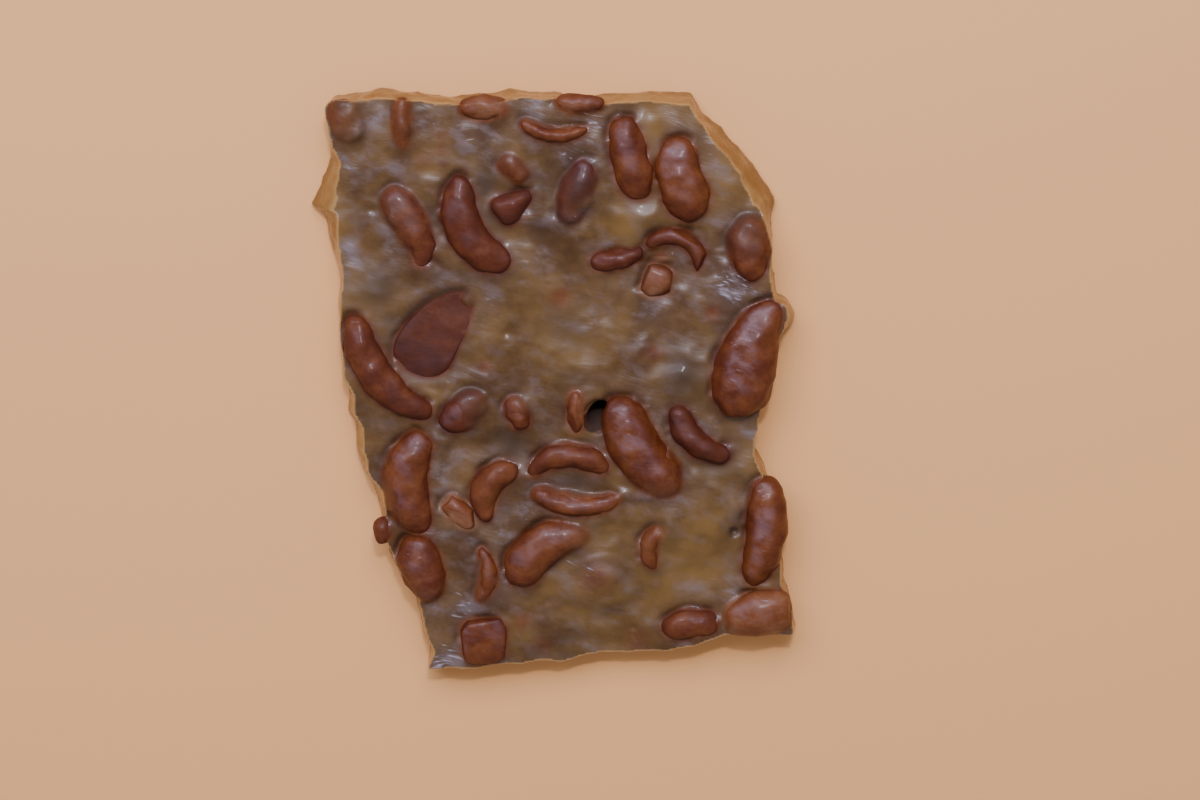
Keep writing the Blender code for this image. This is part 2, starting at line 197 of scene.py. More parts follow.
# Swells and dips of the poured face: x, y, half length, half width, turn in degrees and height.
SWELLS = [
    (24.7, -25.5, 9, 8, 0, 0.85), (8.9, -38.3, 6.8, 5.4, 10, 0.75), (23.6, 1.6, 5, 3.6, -20, 0.35),
    (16, 6.4, 2.9, 4, 0, 0.35), (-16, 47, 3.6, 3.3, 0, 0.40), (15.4, 31.3, 7.5, 3.8, 0, 0.40),
    (31.2, 41.5, 4.6, 6.8, 20, 0.40), (-21.5, -9, 2.4, 8, -10, 0.45), (0.6, -47.4, 9.5, 4.6, 5, 0.40),
    (-6.8, 21, 8.5, 6.5, 0, 0.35), (-21.6, 17.2, 7.5, 3.6, 0, 0.30), (-31, 43.5, 5.5, 5.5, 0, 0.35),
    (0.6, 3.9, 8.5, 5, -15, 0.30), (-35, 18, 4.5, 6, 0, 0.30), (31, 22, 6, 4, 20, 0.40),
    (-9, -11.5, 6, 4.5, 0, -0.60), (26.5, -13.2, 7.5, 2.8, -10, -0.50), (8, -27.4, 5.5, 2.8, 10, -0.40),
    (33.9, -9.4, 3.4, 5.5, 0, -0.35), (-24.5, 33, 2.6, 5, 20, -0.35), (3, 33.5, 3, 5.5, 0, -0.40),
    (21, 21.5, 5, 2.5, 0, -0.30), (-14, -24, 2.6, 5, 10, -0.40), (-3, -33, 5, 2.6, 20, -0.35),
    (17, 25.2, 4.6, 1.8, 10, -0.55), (18.6, 20.8, 3.6, 3.4, 0, -0.45), (-18.1, -23.2, 3.6, 3, 0, -0.35),
]
# Pits where a bubble broke: x, y, radius and depth.
PITS = [
    (33.2, -27.3, 0.75, 1.1), (27.6, -29.4, 1.7, 0.28), (-9.4, 10.6, 0.6, 0.4), (5.2, 12.4, 0.9, 0.25),
    (-33.4, 33.6, 0.7, 0.35), (18.6, 39.8, 0.6, 0.4), (-1.9, -40.8, 0.8, 0.3), (14.4, -46.2, 0.6, 0.35),
]

# Patches of the poured face: x, y, reach and strength.
GOLDEN_PATCHES = [
    (13, 29.5, 5, 0.70), (30.2, 41.5, 7, 0.8), (-23, -1.8, 3.5, 0.7), (-22, 40.5, 4, 0.2),
    (-41, 30, 5, 0.8), (-39.5, 14, 4, 0.6), (24, -30, 7, 0.7), (-36, 21.5, 3.5, 0.3),
    (4, 8, 8, 0.55), (-14, 10, 5, 0.4), (10, -52, 6, 0.5), (27.5, -25.5, 5, 0.6),
    (18, 49, 5, 0.8), (22, -34, 11, 0.8), (-36.5, 3, 5, 0.4), (33, 9, 4, 0.6), (37, -12, 4, 0.5),
]
# Milky patches: partly cloudy candy, partly a painted sheen where the haze of reflected light lies.
MILK_AND_SHEEN_PATCHES = [
    (10, 19, 6, 0.35), (-15.1, 47, 5, 0.6), (-37.5, 42, 4, 0.7), (-8, 24, 6, 0.5),
    (22, -18.5, 6, 0.5), (6.5, 49.5, 6.5, 1), (-20, -13, 4, 0.5), (-16, -48, 4, 0.5),
    (32, 20, 7.5, 1), (33, -38.5, 4, 0.5), (5, -33.6, 5, 0.6), (-12.8, 16.2, 4, 0.7),
    (-3, 51.5, 6.5, 1), (-28, -22, 4, 0.7), (-24, -41, 5, 0.7), (-10, -37, 5, 0.9),
    (-21, -16, 3, 0.8), (31, 33, 4, 0.5), (-13.5, 27.5, 3.5, 0.8), (3, 44, 4.5, 0.8),
    (-29, 31, 4, 0.4), (36, -4, 4, 0.5), (22.5, 49, 3.5, 0.6), (-33, 51, 5, 0.9),
    (18, 15.5, 5, 0.7), (37, 17, 4, 0.9), (23, 25.5, 4, 0.6), (-17, -42, 5.5, 1),
    (-11.5, -29, 5, 1), (-4, -24, 4, 0.8), (21, -8, 4, 0.6), (27, -8, 4, 0.9),
    (35, -7, 4, 0.9), (27.5, 43, 5, 0.7), (-22.5, -52.5, 6, 1), (17, -1.5, 5, 0.6),
    (-23, 49, 4, 0.7), (-37.9, 26.4, 2.2, 1), (-37.5, 23.8, 2.2, 1),
]
# Painted shade: dark patches in the hollows and between the nuts, where shadow falls.
SHADE_PATCHES = [
    (-8.6, -10.4, 5, 1), (-13, 38.5, 3.5, 0.9), (23.5, 3.5, 6, 1), (29.5, -13, 5, 0.8),
    (-30.5, 13.5, 2.5, 0.7), (3.5, 1, 5, 0.6), (12, -33.5, 5, 0.35), (30.6, 12.4, 3.5, 0.4),
    (0.5, -50, 7, 0.35), (-17, 22.5, 4, 0.30), (-3, 30.5, 3, 0.4), (-3.6, -31, 3.4, 0.4),
    (-38, -4, 6, 0.3), (-26.5, 6.5, 5, 1), (-16.5, 8, 3, 0.5), (-11, 33, 4, 1),
    (-23, 32.5, 3.6, 1), (-1, 38, 3, 0.5), (15, 38, 3.4, 1), (-27.5, 26.5, 3, 0.6),
    (-32.5, 19.5, 5.5, 0.75), (2, 12, 6, 0.6), (-22, 3, 3, 0.7), (4, -18, 6.5, 0.9), (4, -31, 4, 0.5),
    (33.2, -27.2, 1.3, 1), (-10, -14.5, 4, 0.9),
]
# Nut crumbs that the candy covers wholly, as a tint: x, y, reach and strength.
BURIED_CRUMBS = [
    (0.8, 17.5, 2.4, 0.85), (18, 7.2, 2, 0.80), (-13.2, 4.4, 1.4, 0.85), (28.8, 14.6, 1.8, 0.8),
    (7.3, -35.6, 3.8, 0.65), (-6.6, -44.6, 2.2, 0.7), (-2.8, -49.3, 2.2, 0.6), (-24.5, 43, 1.6, 0.5),
    (-16.6, 41.2, 1.4, 0.5), (15.2, -48.6, 3, 0.45), (-20.5, 47.2, 1.3, 0.6), (-20.8, 44.6, 1.3, 0.6),
    (-20.4, 42.2, 1.2, 0.5), (-26, 51, 1.2, 0.55), (-25.6, 48.4, 1.1, 0.5), (19.2, 24.6, 2, 0.9),
    (15.6, 25.8, 1.5, 0.7),
]
# Folds of the poured face: from x, y to x, y, bow to the left, width and height.
FOLDS = [
    (10.8, -18.7, 18.2, -20.2, -0.6, 0.8, 0.45), (2.9, -34.3, 14.9, -35.4, 3, 0.9, 0.45),
    (15.4, -19.4, 27.4, -17.9, 1.6, 1.3, 0.38), (27.4, -17.9, 34, -24.6, 1.6, 1.2, 0.4),
    (-24, -3.4, -17.6, -8.8, 0.6, 0.7, 0.35), (16, 5, 26, 5.6, 1.6, 1.2, 0.25),
    (9, 33.4, 19, 33, -0.8, 1.3, 0.22), (-19.2, 45, -11.4, 45.4, 3.2, 1.1, 0.22),
]


# ---------------------------------------------------------------- smooth noise and small sums

class Grain:
    """Smooth noise between about -1 and 1 in space, for many points at once."""

    def __init__(self, seed):
        draw = np.random.default_rng(seed)
        self.order = draw.permutation(256)
        ways = draw.normal(size=(256, 3))
        self.ways = ways / np.linalg.norm(ways, axis=1)[:, None]

    def __call__(self, points, span):
        spot = np.asarray(points, float) / span
        cell = np.floor(spot).astype(int)
        inside = spot - cell
        ease = inside ** 3 * (inside * (inside * 6.0 - 15.0) + 10.0)
        total = np.zeros(len(spot))
        for corner in np.ndindex(2, 2, 2):
            key = self.order[(cell[:, 0] + corner[0]) & 255]
            key = self.order[(key + cell[:, 1] + corner[1]) & 255]
            key = self.order[(key + cell[:, 2] + corner[2]) & 255]
            share = np.prod(np.where(np.array(corner) == 1, ease, 1.0 - ease), axis=1)
            total += share * np.sum(self.ways[key] * (inside - corner), axis=1)
        return total * 1.6


def smooth_step(low, high, value):
    """0 below low, 1 above high, and an eased slope between."""
    share = np.clip((value - low) / (high - low), 0.0, 1.0)
    return share * share * (3.0 - 2.0 * share)


def soft_max(first, second, softness):
    """The larger of two fields, with a fillet where they cross."""
    return (first + second + np.sqrt((first - second) ** 2 + softness ** 2)) / 2.0


def layered(grain, points, layers):
    """A sum of noises: each layer has a height, a span and a shift."""
    return sum(height * grain(points + shift, span) for height, span, shift in layers)


def spots(x, y, patches):
    """A field that is the strength of each round patch at its middle and fades to its reach."""
    field = np.zeros(np.shape(x))
    for patch_x, patch_y, reach, strength in patches:
        away = ((x - patch_x) ** 2 + (y - patch_y) ** 2) / reach ** 2
        field = np.maximum(field, strength * np.exp(-1.5 * away))
    return field


# ---------------------------------------------------------------- meshes

def mesh_object(name, points, faces, material):
    """A smooth-shaded object from points in millimetres."""
    mesh = bpy.data.meshes.new(name)
    mesh.from_pydata((np.asarray(points) * MM).tolist(), [], faces)
    mesh.materials.append(material)
    mesh.shade_smooth()
    thing = bpy.data.objects.new(name, mesh)
    bpy.context.scene.collection.objects.link(thing)
    return thing


def face_outwards(thing):
    """Turn every face of a closed mesh outwards."""
    work = bmesh.new()
    work.from_mesh(thing.data)
    bmesh.ops.recalc_face_normals(work, faces=work.faces)
    work.to_mesh(thing.data)
    work.free()


def points_of(mesh):
    """A mesh's corners as an array in millimetres."""
    flat = np.empty(len(mesh.vertices) * 3, np.float32)
    mesh.vertices.foreach_get("co", flat)
    return flat.reshape(-1, 3).astype(float) / MM


def move_points(mesh, points):
    """Put a mesh's corners at points in millimetres."""
    mesh.vertices.foreach_set("co", (points * MM).astype(np.float32).ravel())
    mesh.update()


def normals_of(mesh):
    """The way each corner of a mesh faces."""
    flat = np.empty(len(mesh.vertices) * 3, np.float32)
    mesh.vertex_normals.foreach_get("vector", flat)
    return flat.reshape(-1, 3).astype(float)


def paint(mesh, name, values):
    """Keep one number for each corner of the mesh, for its material to read."""
    layer = mesh.attributes.new(name, "FLOAT", "POINT")
    layer.data.foreach_set("value", np.asarray(values, np.float32))


def ordered_loops(edges):
    """Closed loops of corner numbers from loose edges."""
    beside = {}
    for edge in edges:
        first, second = (corner.index for corner in edge.verts)
        beside.setdefault(first, []).append(second)
        beside.setdefault(second, []).append(first)
    loops = []
    while beside:
        start = min(beside)
        loop = [start]
        previous, here = None, start
        while True:
            onward = [corner for corner in beside[here] if corner != previous]
            previous, here = here, onward[0]
            if here == start:
                break
            loop.append(here)
        for corner in loop:
            del beside[corner]
        loops.append(loop)
    return loops


def inside_loop(x, y, loop):
    """True for points inside a closed outline."""
    inside = np.zeros(np.shape(x), bool)
    for (x0, y0), (x1, y1) in zip(loop, np.roll(loop, -1, axis=0)):
        if y0 == y1:
            continue
        crosses = (y0 > y) != (y1 > y)
        inside ^= crosses & (x < (x1 - x0) * (y - y0) / (y1 - y0) + x0)
    return inside


def nearest_distance(x, y, points):
    """Distance from each (x, y) to the nearest of the points, and which one that is."""
    tree = kdtree.KDTree(len(points))
    for number, (point_x, point_y) in enumerate(points):
        tree.insert((point_x, point_y, 0.0), number)
    tree.balance()
    found = [tree.find((px, py, 0.0)) for px, py in zip(x.ravel().tolist(), y.ravel().tolist())]
    away = np.array([hit[2] for hit in found]).reshape(np.shape(x))
    which = np.array([hit[1] for hit in found]).reshape(np.shape(x))
    return away, which


# ---------------------------------------------------------------- the cashews

SKIN_DARKER = 0.22         # how much darker the skin of a broken piece is than its inside
NUT_LEVELS = 3             # each facet of the frame's nut becomes 8 by 8
FIT_ROUNDS = 3
CUT_PRESS = 0.9            # share of what lies beyond a cut that is pressed back onto it
UPPER_CUT = 60             # a cut that tilts up more than this shows the inside of the nut
DENT_LIMIT = 8.0           # dents grow with a nut's breadth up to this breadth
DENT_DEPTH = 0.060         # both as a share of that breadth
DENT_SPAN = 0.45
CUT_CALM = 0.5             # a broken piece has this share of the relief
# Finer relief of a nut: height, span in x, y and z, and shift.
RIDGES = [(0.10, (2.8, 1.6, 1.6), 50.0)]
WRINKLES = [(0.045, (2.0, 0.65, 0.9), 0.0)]
SUNK_LEVELS = (6.6, 8.8)   # the skin darkens from the upper of these levels to the lower
SHEEN_SIDE = (-0.18, 0.36, 0.915)   # the side of a nut that faces up towards the window, where a sheen is painted
SHEEN_FACING = (0.76, 1.0)
SHEEN_STRENGTH = 0.65
SUNK_SHEEN_LOSS = 0.7            # share of that painted sheen that a sunk nut loses
dents = Grain(11)
wrinkles = Grain(12)


def smoothed(cage, levels):
    """Corners and faces of a cage's smooth surface; the cage's own corners come first."""
    modifier = cage.modifiers.new("smooth", "SUBSURF")
    modifier.levels = levels
    modifier.render_levels = levels
    seen = cage.evaluated_get(bpy.context.evaluated_depsgraph_get())
    mesh = seen.to_mesh()
    points = points_of(mesh)
    faces = [tuple(face.vertices) for face in mesh.polygons]
    seen.to_mesh_clear()
    cage.modifiers.remove(modifier)
    return points, faces


def with_cut_faces(points, cuts):
    """A nut with its corners beyond each cut pressed onto the cut, and how bare each corner is.

    The upper face of a broken piece shows the pale inside of the nut, and its sides the skin.
    """
    middle = (points.max(axis=0) + points.min(axis=0)) / 2.0
    inside = np.zeros(len(points))
    for way, tilt, share in cuts:
        upper = tilt > UPPER_CUT
        way, tilt = math.radians(way), math.radians(tilt)
        out = np.array([
            math.cos(way) * math.cos(tilt), math.sin(way) * math.cos(tilt), math.sin(tilt)])
        reach = (points - middle) @ out
        beyond = np.maximum(reach - reach.max() * share, 0.0)
        points = points - out * (CUT_PRESS * beyond)[:, None]
        if upper:
            inside = smooth_step(0.0, 0.25, beyond)
    return points, inside


def nut_surface(node):
    """The frame's faceted nut as a smooth surface through the same corners."""
    work = bmesh.new()
    work.from_mesh(node.data)
    bmesh.ops.remove_doubles(work, verts=work.verts, dist=WELD * MM)
    bmesh.ops.join_triangles(
        work, faces=work.faces,
        angle_face_threshold=math.radians(70.0), angle_shape_threshold=math.radians(120.0))
    mesh = bpy.data.meshes.new("cage")
    work.to_mesh(mesh)
    work.free()
    cage = bpy.data.objects.new("cage", mesh)
    bpy.context.scene.collection.objects.link(cage)
    wanted = points_of(mesh)
    corners = wanted.copy()
    for _ in range(FIT_ROUNDS):
        reached, _ = smoothed(cage, 1)
        corners = corners + wanted - reached[:len(wanted)]
        move_points(mesh, corners)
    points, faces = smoothed(cage, NUT_LEVELS)
    bpy.data.objects.remove(cage)
    return points, faces


def dressing_of(name):
    """The dressing of a cashew of the frame, or of the piece that stands for it."""
    return DRESSINGS[name.removeprefix(PREFIX).removesuffix(ENDING)]


def make_nut(node, material):
    """One roasted cashew: shallow dents, fine wrinkles and a few ridges across it."""
    dressing = dressing_of(node.name)
    cuts = CUT_FACES.get(node.name.removeprefix(PREFIX), [])
    points, faces = nut_surface(node)
    points, inside = with_cut_faces(points, cuts)
    thing = mesh_object(node.name + ENDING, points, faces, material)
    face_outwards(thing)
    size = points.max(axis=0) - points.min(axis=0)
    narrow = min(size[0], size[1], DENT_LIMIT)
    outwards = normals_of(thing.data)
    relief = DENT_DEPTH * narrow * dents(points, DENT_SPAN * narrow)
    relief += layered(dents, points, RIDGES)
    relief += layered(wrinkles, points, WRINKLES)
    points = points + outwards * (relief * (CUT_CALM if cuts else 1.0))[:, None]
    move_points(thing.data, points)
    paint(thing.data, "tone", dressing.tone - SKIN_DARKER * (1.0 - inside) * inside.any())
    sunk = 1.0 - smooth_step(*SUNK_LEVELS, points[:, 2])
    paint(thing.data, "sunk", sunk)
    # Painted sheen on the side of the nut that faces up towards the window.
    facing = outwards @ np.array(SHEEN_SIDE)
    milky = SHEEN_STRENGTH * dressing.shine * smooth_step(*SHEEN_FACING, facing)
    paint(thing.data, "crown", milky * (1.0 - SUNK_SHEEN_LOSS * sunk))
    paint(thing.data, "dull", np.full(len(points), 1.0 - dressing.shine))
    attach(thing, "root")
    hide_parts(node.name)
    return thing


# ---------------------------------------------------------------- the candy's poured face

class Raster:
    """Even points over the slab, one facet apart, and fields on them."""

    def __init__(self, low, high, step):
        self.step = step
        self.low = (math.floor(low[0] / step) * step, math.floor(low[1] / step) * step)
        self.columns = int((high[0] - self.low[0]) / step) + 2
        self.rows = int((high[1] - self.low[1]) / step) + 2
        x = self.low[0] + step * np.arange(self.columns)
        y = self.low[1] + step * np.arange(self.rows)
        self.x, self.y = np.meshgrid(x, y)

    def flat(self, height=0.0):
        """The points as a list of places in space."""
        return np.column_stack([self.x.ravel(), self.y.ravel(), np.full(self.x.size, height)])

    def noise(self, grain, span, height):
        """Smooth noise over the points, cut at a height."""
        return grain(self.flat(height), span).reshape(self.x.shape)

    def blurred(self, field, reach):
        """The field averaged over a round neighbourhood."""
        half = max(1, int(3.0 * reach / self.step))
        offsets = np.arange(-half, half + 1) * self.step
        shares = np.exp(-0.5 * (offsets / reach) ** 2)
        shares /= shares.sum()
        for axis in (0, 1):
            margins = [(half, half) if side == axis else (0, 0) for side in (0, 1)]
            padded = np.pad(field, margins, "edge")
            total = np.zeros_like(field)
            for number, share in enumerate(shares):
                part = [slice(None), slice(None)]
                part[axis] = slice(number, number + field.shape[axis])
                total += share * padded[tuple(part)]
            field = total
        return field

    def read(self, field, x, y):
        """The field's value between its points."""
        column = np.clip((x - self.low[0]) / self.step, 0, self.columns - 1.001)
        row = np.clip((y - self.low[1]) / self.step, 0, self.rows - 1.001)
        left, low = column.astype(int), row.astype(int)
        right_share, up_share = column - left, row - low
        lower = field[low, left] * (1 - right_share) + field[low, left + 1] * right_share
        upper = field[low + 1, left] * (1 - right_share) + field[low + 1, left + 1] * right_share
        return lower * (1 - up_share) + upper * up_share

    def look_down(self, tree):
        """Height of what the tree holds under each point, and its face number, or -1."""
        height = np.full(self.x.size, -1.0)
        slope = np.zeros(self.x.size)
        face = np.full(self.x.size, -1)
        down = Vector((0.0, 0.0, -1.0))
        for number, place in enumerate(self.flat(30.0).tolist()):
            hit, normal, index, _ = tree.ray_cast(place, down)
            if hit is not None:
                height[number], slope[number], face[number] = hit.z, normal.z, index
        shape = self.x.shape
        return height.reshape(shape), slope.reshape(shape), face.reshape(shape)


swell = Grain(21)
pull = Grain(22)
patchy = Grain(23)
PULL_WAY = math.radians(-17.0)      # the candy was pulled this way
PULL_STRETCH = 3.6         # and its ripples are this much longer than broad
# Noises of the poured face: height, span and shift of each layer.
BROAD_SWELLS = [(0.45, 7.0, 0.0), (0.24, 3.4, 17.0), (0.06, 1.5, 29.0)]
RIPPLES = [(0.10, 1.9, 0.0), (0.05, 0.9, 9.0)]
CREST_HEIGHT = 0.09
CREST_SHARP = 3.2          # the larger, the thinner the crests between the ripples
PULL_WANDER = 2.6          # the pull wanders this far to each side
SWELL_GAIN = 1.3           # the swells of the table are this much higher in all
PIT_RING = 1.35            # radius of the ring round a pit, as a share of the pit's
FOLD_BOW = 4.0             # brings a fold's bow to its full height half way along
UNEVEN_SPAN = 5.0          # collars and moats change over this distance
LEVEL_SPREAD = 2.2         # reach over which the frame's facets are smoothed out
LEVEL_SLOPE = 0.6          # steeper and lower faces of the frame aren't the poured face
LEVEL_LOWEST = 4.6
EDGE_BLUR = 0.7            # reach of the means taken along a nut's edge


def flow_places(points):
    """Places stretched along the pull of the candy, which runs down to the right and wanders."""
    wander = PULL_WANDER * swell(points + 30.0, 13.0)
    along = points[:, 0] * math.cos(PULL_WAY) + points[:, 1] * math.sin(PULL_WAY)
    across = -points[:, 0] * math.sin(PULL_WAY) + points[:, 1] * math.cos(PULL_WAY) + wander
    return np.column_stack([along / PULL_STRETCH, across, points[:, 2]])


def pulled_relief(points):
    """Long low ripples with a few sharper crests, stronger in some places than in others."""
    flow = flow_places(points)
    strength = 0.35 + 0.65 * smooth_step(-0.25, 0.55, patchy(points, 9.0))
    crest = np.clip(1.0 - CREST_SHARP * np.abs(pull(flow + 40.0, 1.7)), 0.0, 1.0) ** 2
    return strength * (layered(pull, flow, RIPPLES) + CREST_HEIGHT * crest)


def swell_relief(x, y):
    """Swells over what the candy covers, and the dips between them."""
    height = np.zeros(np.shape(x))
    for middle_x, middle_y, long_half, wide_half, turn, tall in SWELLS:
        turn = math.radians(turn)
        along = (x - middle_x) * math.cos(turn) + (y - middle_y) * math.sin(turn)
        aside = -(x - middle_x) * math.sin(turn) + (y - middle_y) * math.cos(turn)
        away = np.hypot(along / long_half, aside / wide_half)
        height += SWELL_GAIN * tall * (1.0 - smooth_step(0.35, 1.2, away))
    return height


def pit_relief(x, y):
    """Small pits with a faint raised ring."""
    height = np.zeros(np.shape(x))
    for pit_x, pit_y, radius, depth in PITS:
        away = np.hypot(x - pit_x, y - pit_y) / radius
        height -= depth * np.exp(-away ** 4)
        height += 0.25 * min(depth, 0.4) * np.exp(-((away - PIT_RING) / 0.35) ** 2)
    return height


def fold_relief(x, y):
    """Raised folds, each a short bowed line."""
    height = np.zeros(np.shape(x))
    for x0, y0, x1, y1, bow, width, tall in FOLDS:
        run = math.hypot(x1 - x0, y1 - y0)
        ahead = ((x1 - x0) / run, (y1 - y0) / run)
        along = ((x - x0) * ahead[0] + (y - y0) * ahead[1]) / run
        side = -(x - x0) * ahead[1] + (y - y0) * ahead[0] - bow * FOLD_BOW * along * (1.0 - along)
        ends = smooth_step(-0.15, 0.2, along) * (1.0 - smooth_step(0.8, 1.15, along))
        height = np.maximum(height, tall * ends * np.exp(-(side / width) ** 2))
    return height


class NutMap:
    """Over the raster: which nut lies there, how far its edge is, and on which side of it."""

    def __init__(self, raster, nut_tree, face_nut):
        self.top, self.steep, face = raster.look_down(nut_tree)
        self.which = np.where(face >= 0, face_nut[face], -1)
        self.over = over = self.which >= 0
        self.border = over & ~(
            np.roll(over, 1, 0) & np.roll(over, -1, 0)
            & np.roll(over, 1, 1) & np.roll(over, -1, 1))
        rim = np.column_stack([raster.x[self.border], raster.y[self.border]])
        to_border, self.nearest = nearest_distance(raster.x, raster.y, rim.tolist())
        self.away = np.where(over, 0.0, to_border)
        self.within = np.where(over, to_border, 0.0)
        outwards = np.where(over, -1.0, 1.0) / np.maximum(to_border, 0.1)
        to_x = raster.blurred((raster.x - rim[self.nearest, 0]) * outwards, 0.5)
        to_y = raster.blurred((raster.y - rim[self.nearest, 1]) * outwards, 0.5)
        self.upper_left = to_x * MOAT_SIDE.x + to_y * MOAT_SIDE.y
        self.upper_left /= np.maximum(np.hypot(to_x, to_y), 0.3)
        self.shaded = smooth_step(0.0, 0.8, self.upper_left)

    def at_edge(self, field):
        """The field's value at the nut edge that is nearest to each point."""
        return field[self.border][self.nearest]


def candy_level(raster, candy_tree, over_nut):
    """Level of the frame's candy between the nuts, carried on under them."""
    frame_top, slope, _ = raster.look_down(candy_tree)
    known = (slope > LEVEL_SLOPE) & (frame_top > LEVEL_LOWEST) & ~over_nut
    weight = raster.blurred(known.astype(float), LEVEL_SPREAD)
    level = raster.blurred(np.where(known, frame_top, 0.0), LEVEL_SPREAD)
    return np.where(weight > 1e-6, level / np.maximum(weight, 1e-9), RIM_LEVEL)


def collars_and_moats(raster, nut_map, level, uneven):
    """How far the candy climbs round the nuts, and how far it sinks on their shaded side."""
    which = nut_map.which
    stands_out = np.array([
        nut_map.top[which == number].max(initial=RIM_LEVEL) - np.median(level[which == number])
        if (which == number).any() else 0.0 for number in range(which.max() + 1)])
    height = np.clip(COLLAR_SHARE * stands_out[nut_map.at_edge(which)], *COLLAR_LIMITS)
    upper_left = nut_map.upper_left
    turned_away = 1.0 - COLLAR_LOSS * np.maximum(upper_left, 0.0)
    turned_away = turned_away - COLLAR_GAIN * np.minimum(upper_left, 0.0)
    height = raster.blurred(height, COLLAR_BLUR) * (1.0 + COLLAR_UNEVEN * uneven) * turned_away
    collar = height * np.exp(-nut_map.away / COLLAR_REACH) * np.exp(-nut_map.within / COLLAR_INSIDE)
    moat = MOAT_DEPTH * nut_map.shaded * smooth_step(*MOAT_GAPS, uneven)
    moat = moat * np.exp(-((nut_map.away - MOAT_AWAY) / MOAT_WIDTH) ** 2)
    return collar, moat * np.exp(-(nut_map.within / MOAT_INSIDE) ** 2)


def nut_film(raster, nut_map, nuts):
    """Thickness of candy over the nut at each point, below zero where the nut is bare."""
    film = np.full(raster.x.shape, -2.0)
    for number, nut in enumerate(nuts):
        here = nut_map.which == number
        if not here.any():
            continue
        dressing = dressing_of(nut.name)
        way = math.radians(dressing.fade_to)
        reach = raster.x[here] * math.cos(way) + raster.y[here] * math.sin(way)
        middle = (reach.max() + reach.min()) / 2.0
        half = max(1.0, (reach.max() - reach.min()) / 2.0)
        film[here] = dressing.film + dressing.fade * (reach - middle) / half
    film = film + FILM_UNEVEN * raster.noise(patchy, FILM_SPAN, 3.0)
    film = film / np.clip(np.where(nut_map.over, nut_map.steep, 1.0), FILM_STEEPEST, 1.0)
    creep = CREEP * smooth_step(0.0, 0.5, raster.noise(patchy, 2.6, 23.0))
    creep = creep * (1.0 - 0.5 * nut_map.shaded) * np.exp(-(nut_map.within / CREEP_REACH) ** 2)
    return film + creep * nut_map.over


def poured_face(raster, nuts, nut_map, candy_tree, hole):
    """Height of the candy's upper face over the raster, and the painted shade of its creases and of a
    halo round the nuts.
    """
    away, within, over_nut = nut_map.away, nut_map.within, nut_map.over
    level = candy_level(raster, candy_tree, over_nut)
    uneven = raster.noise(patchy, UNEVEN_SPAN, 14.0)
    collar, moat = collars_and_moats(raster, nut_map, level, uneven)
    places = raster.flat()
    relief = pulled_relief(places).reshape(level.shape)
    broad = layered(swell, places, BROAD_SWELLS).reshape(level.shape)
    broad += swell_relief(raster.x, raster.y)
    broad += fold_relief(raster.x, raster.y) + pit_relief(raster.x, raster.y)
    candy = level + collar - moat + (relief + broad) * np.exp(-within / CALM_REACH)

    film = nut_film(raster, nut_map, nuts)
    weight = np.maximum(raster.blurred(nut_map.border.astype(float), EDGE_BLUR), 1e-9)
    edge_top = raster.blurred(np.where(nut_map.border, nut_map.top, 0.0), EDGE_BLUR) / weight
    edge_film = raster.blurred(np.where(nut_map.border, film, 0.0), EDGE_BLUR) / weight
    bare_edge = 1.0 - smooth_step(*EDGE_BARE, nut_map.at_edge(edge_film))
    hanging = nut_map.at_edge(edge_top + edge_film) - FLANK_SLOPE * away
    hanging -= EDGE_OUT_OF_WAY * bare_edge
    bare = 1.0 - smooth_step(*TOP_BARE, film)
    sill = nut_map.at_edge(edge_top) - SILL_DROP + SILL_SLOPE * away
    candy -= raster.blurred(bare_edge * np.clip(candy - sill, 0.0, SILL_LIMIT), SILL_BLUR)
    too_high = np.maximum(candy - (nut_map.top + np.minimum(film, -BARE_GAP)), 0.0)
    too_high = over_nut * bare * too_high * smooth_step(0.4, 1.2, within)
    candy -= too_high * smooth_step(0.35, 0.75, nut_map.steep)
    over = nut_map.top + film + FILM_RIPPLES * relief - OUT_OF_WAY * bare
    over = raster.blurred(np.where(over_nut, over, hanging), FILM_BLUR)
    over = np.where(over_nut & (film < 0.0), np.minimum(over, nut_map.top + film), over)
    candy = raster.blurred(soft_max(candy, over, FILM_FILLET), FACE_BLUR)
    lip = np.hypot((raster.x - hole[0]) / hole[2], (raster.y - hole[1]) / hole[3])
    candy -= LIP_DROP * np.exp(-((np.maximum(lip, LIP_SIZE) - LIP_SIZE) / 0.25) ** 2) * ~over_nut

    # Painted shade: the candy is darkened in the moats and in a halo round each nut, more on its shaded
    # side; partly darker clear candy, partly shade that falls there.
    halo = np.exp(-(away / HALO_REACH) ** 1.5) * ~over_nut * smooth_step(-0.9, 0.4, uneven)
    crease_shade = np.clip(moat / MOAT_DEPTH, 0.0, 1.0)
    crease_shade += halo * (HALO_DARK + HALO_SHADED * nut_map.shaded)
    return candy, raster.blurred(np.clip(crease_shade, 0.0, 1.0), FACE_BLUR)


# ---------------------------------------------------------------- the candy's broken sides

LEVEL_SLACK = 0.004        # a corner this close to a level lies on it
fracture = Grain(31)
# The broken side: depth, span in x, y and z, and seed of its shells, then its finer noises.
BREAK_SHELLS = [(0.95, (6.5, 6.5, 7.5), 1), (0.34, (2.6, 2.6, 3.4), 2)]
SHELL_MIDDLE = 0.45
BREAK_GRAIN = [(0.30, 5.0, 0.0), (0.04, 0.7, 60.0)]


def edges_at(work, level):
    """The edges of a mesh that lie at one level."""
    return [
        edge for edge in work.edges
        if all(abs(corner.co.z - level * MM) < LEVEL_SLACK * MM for corner in edge.verts)
    ]


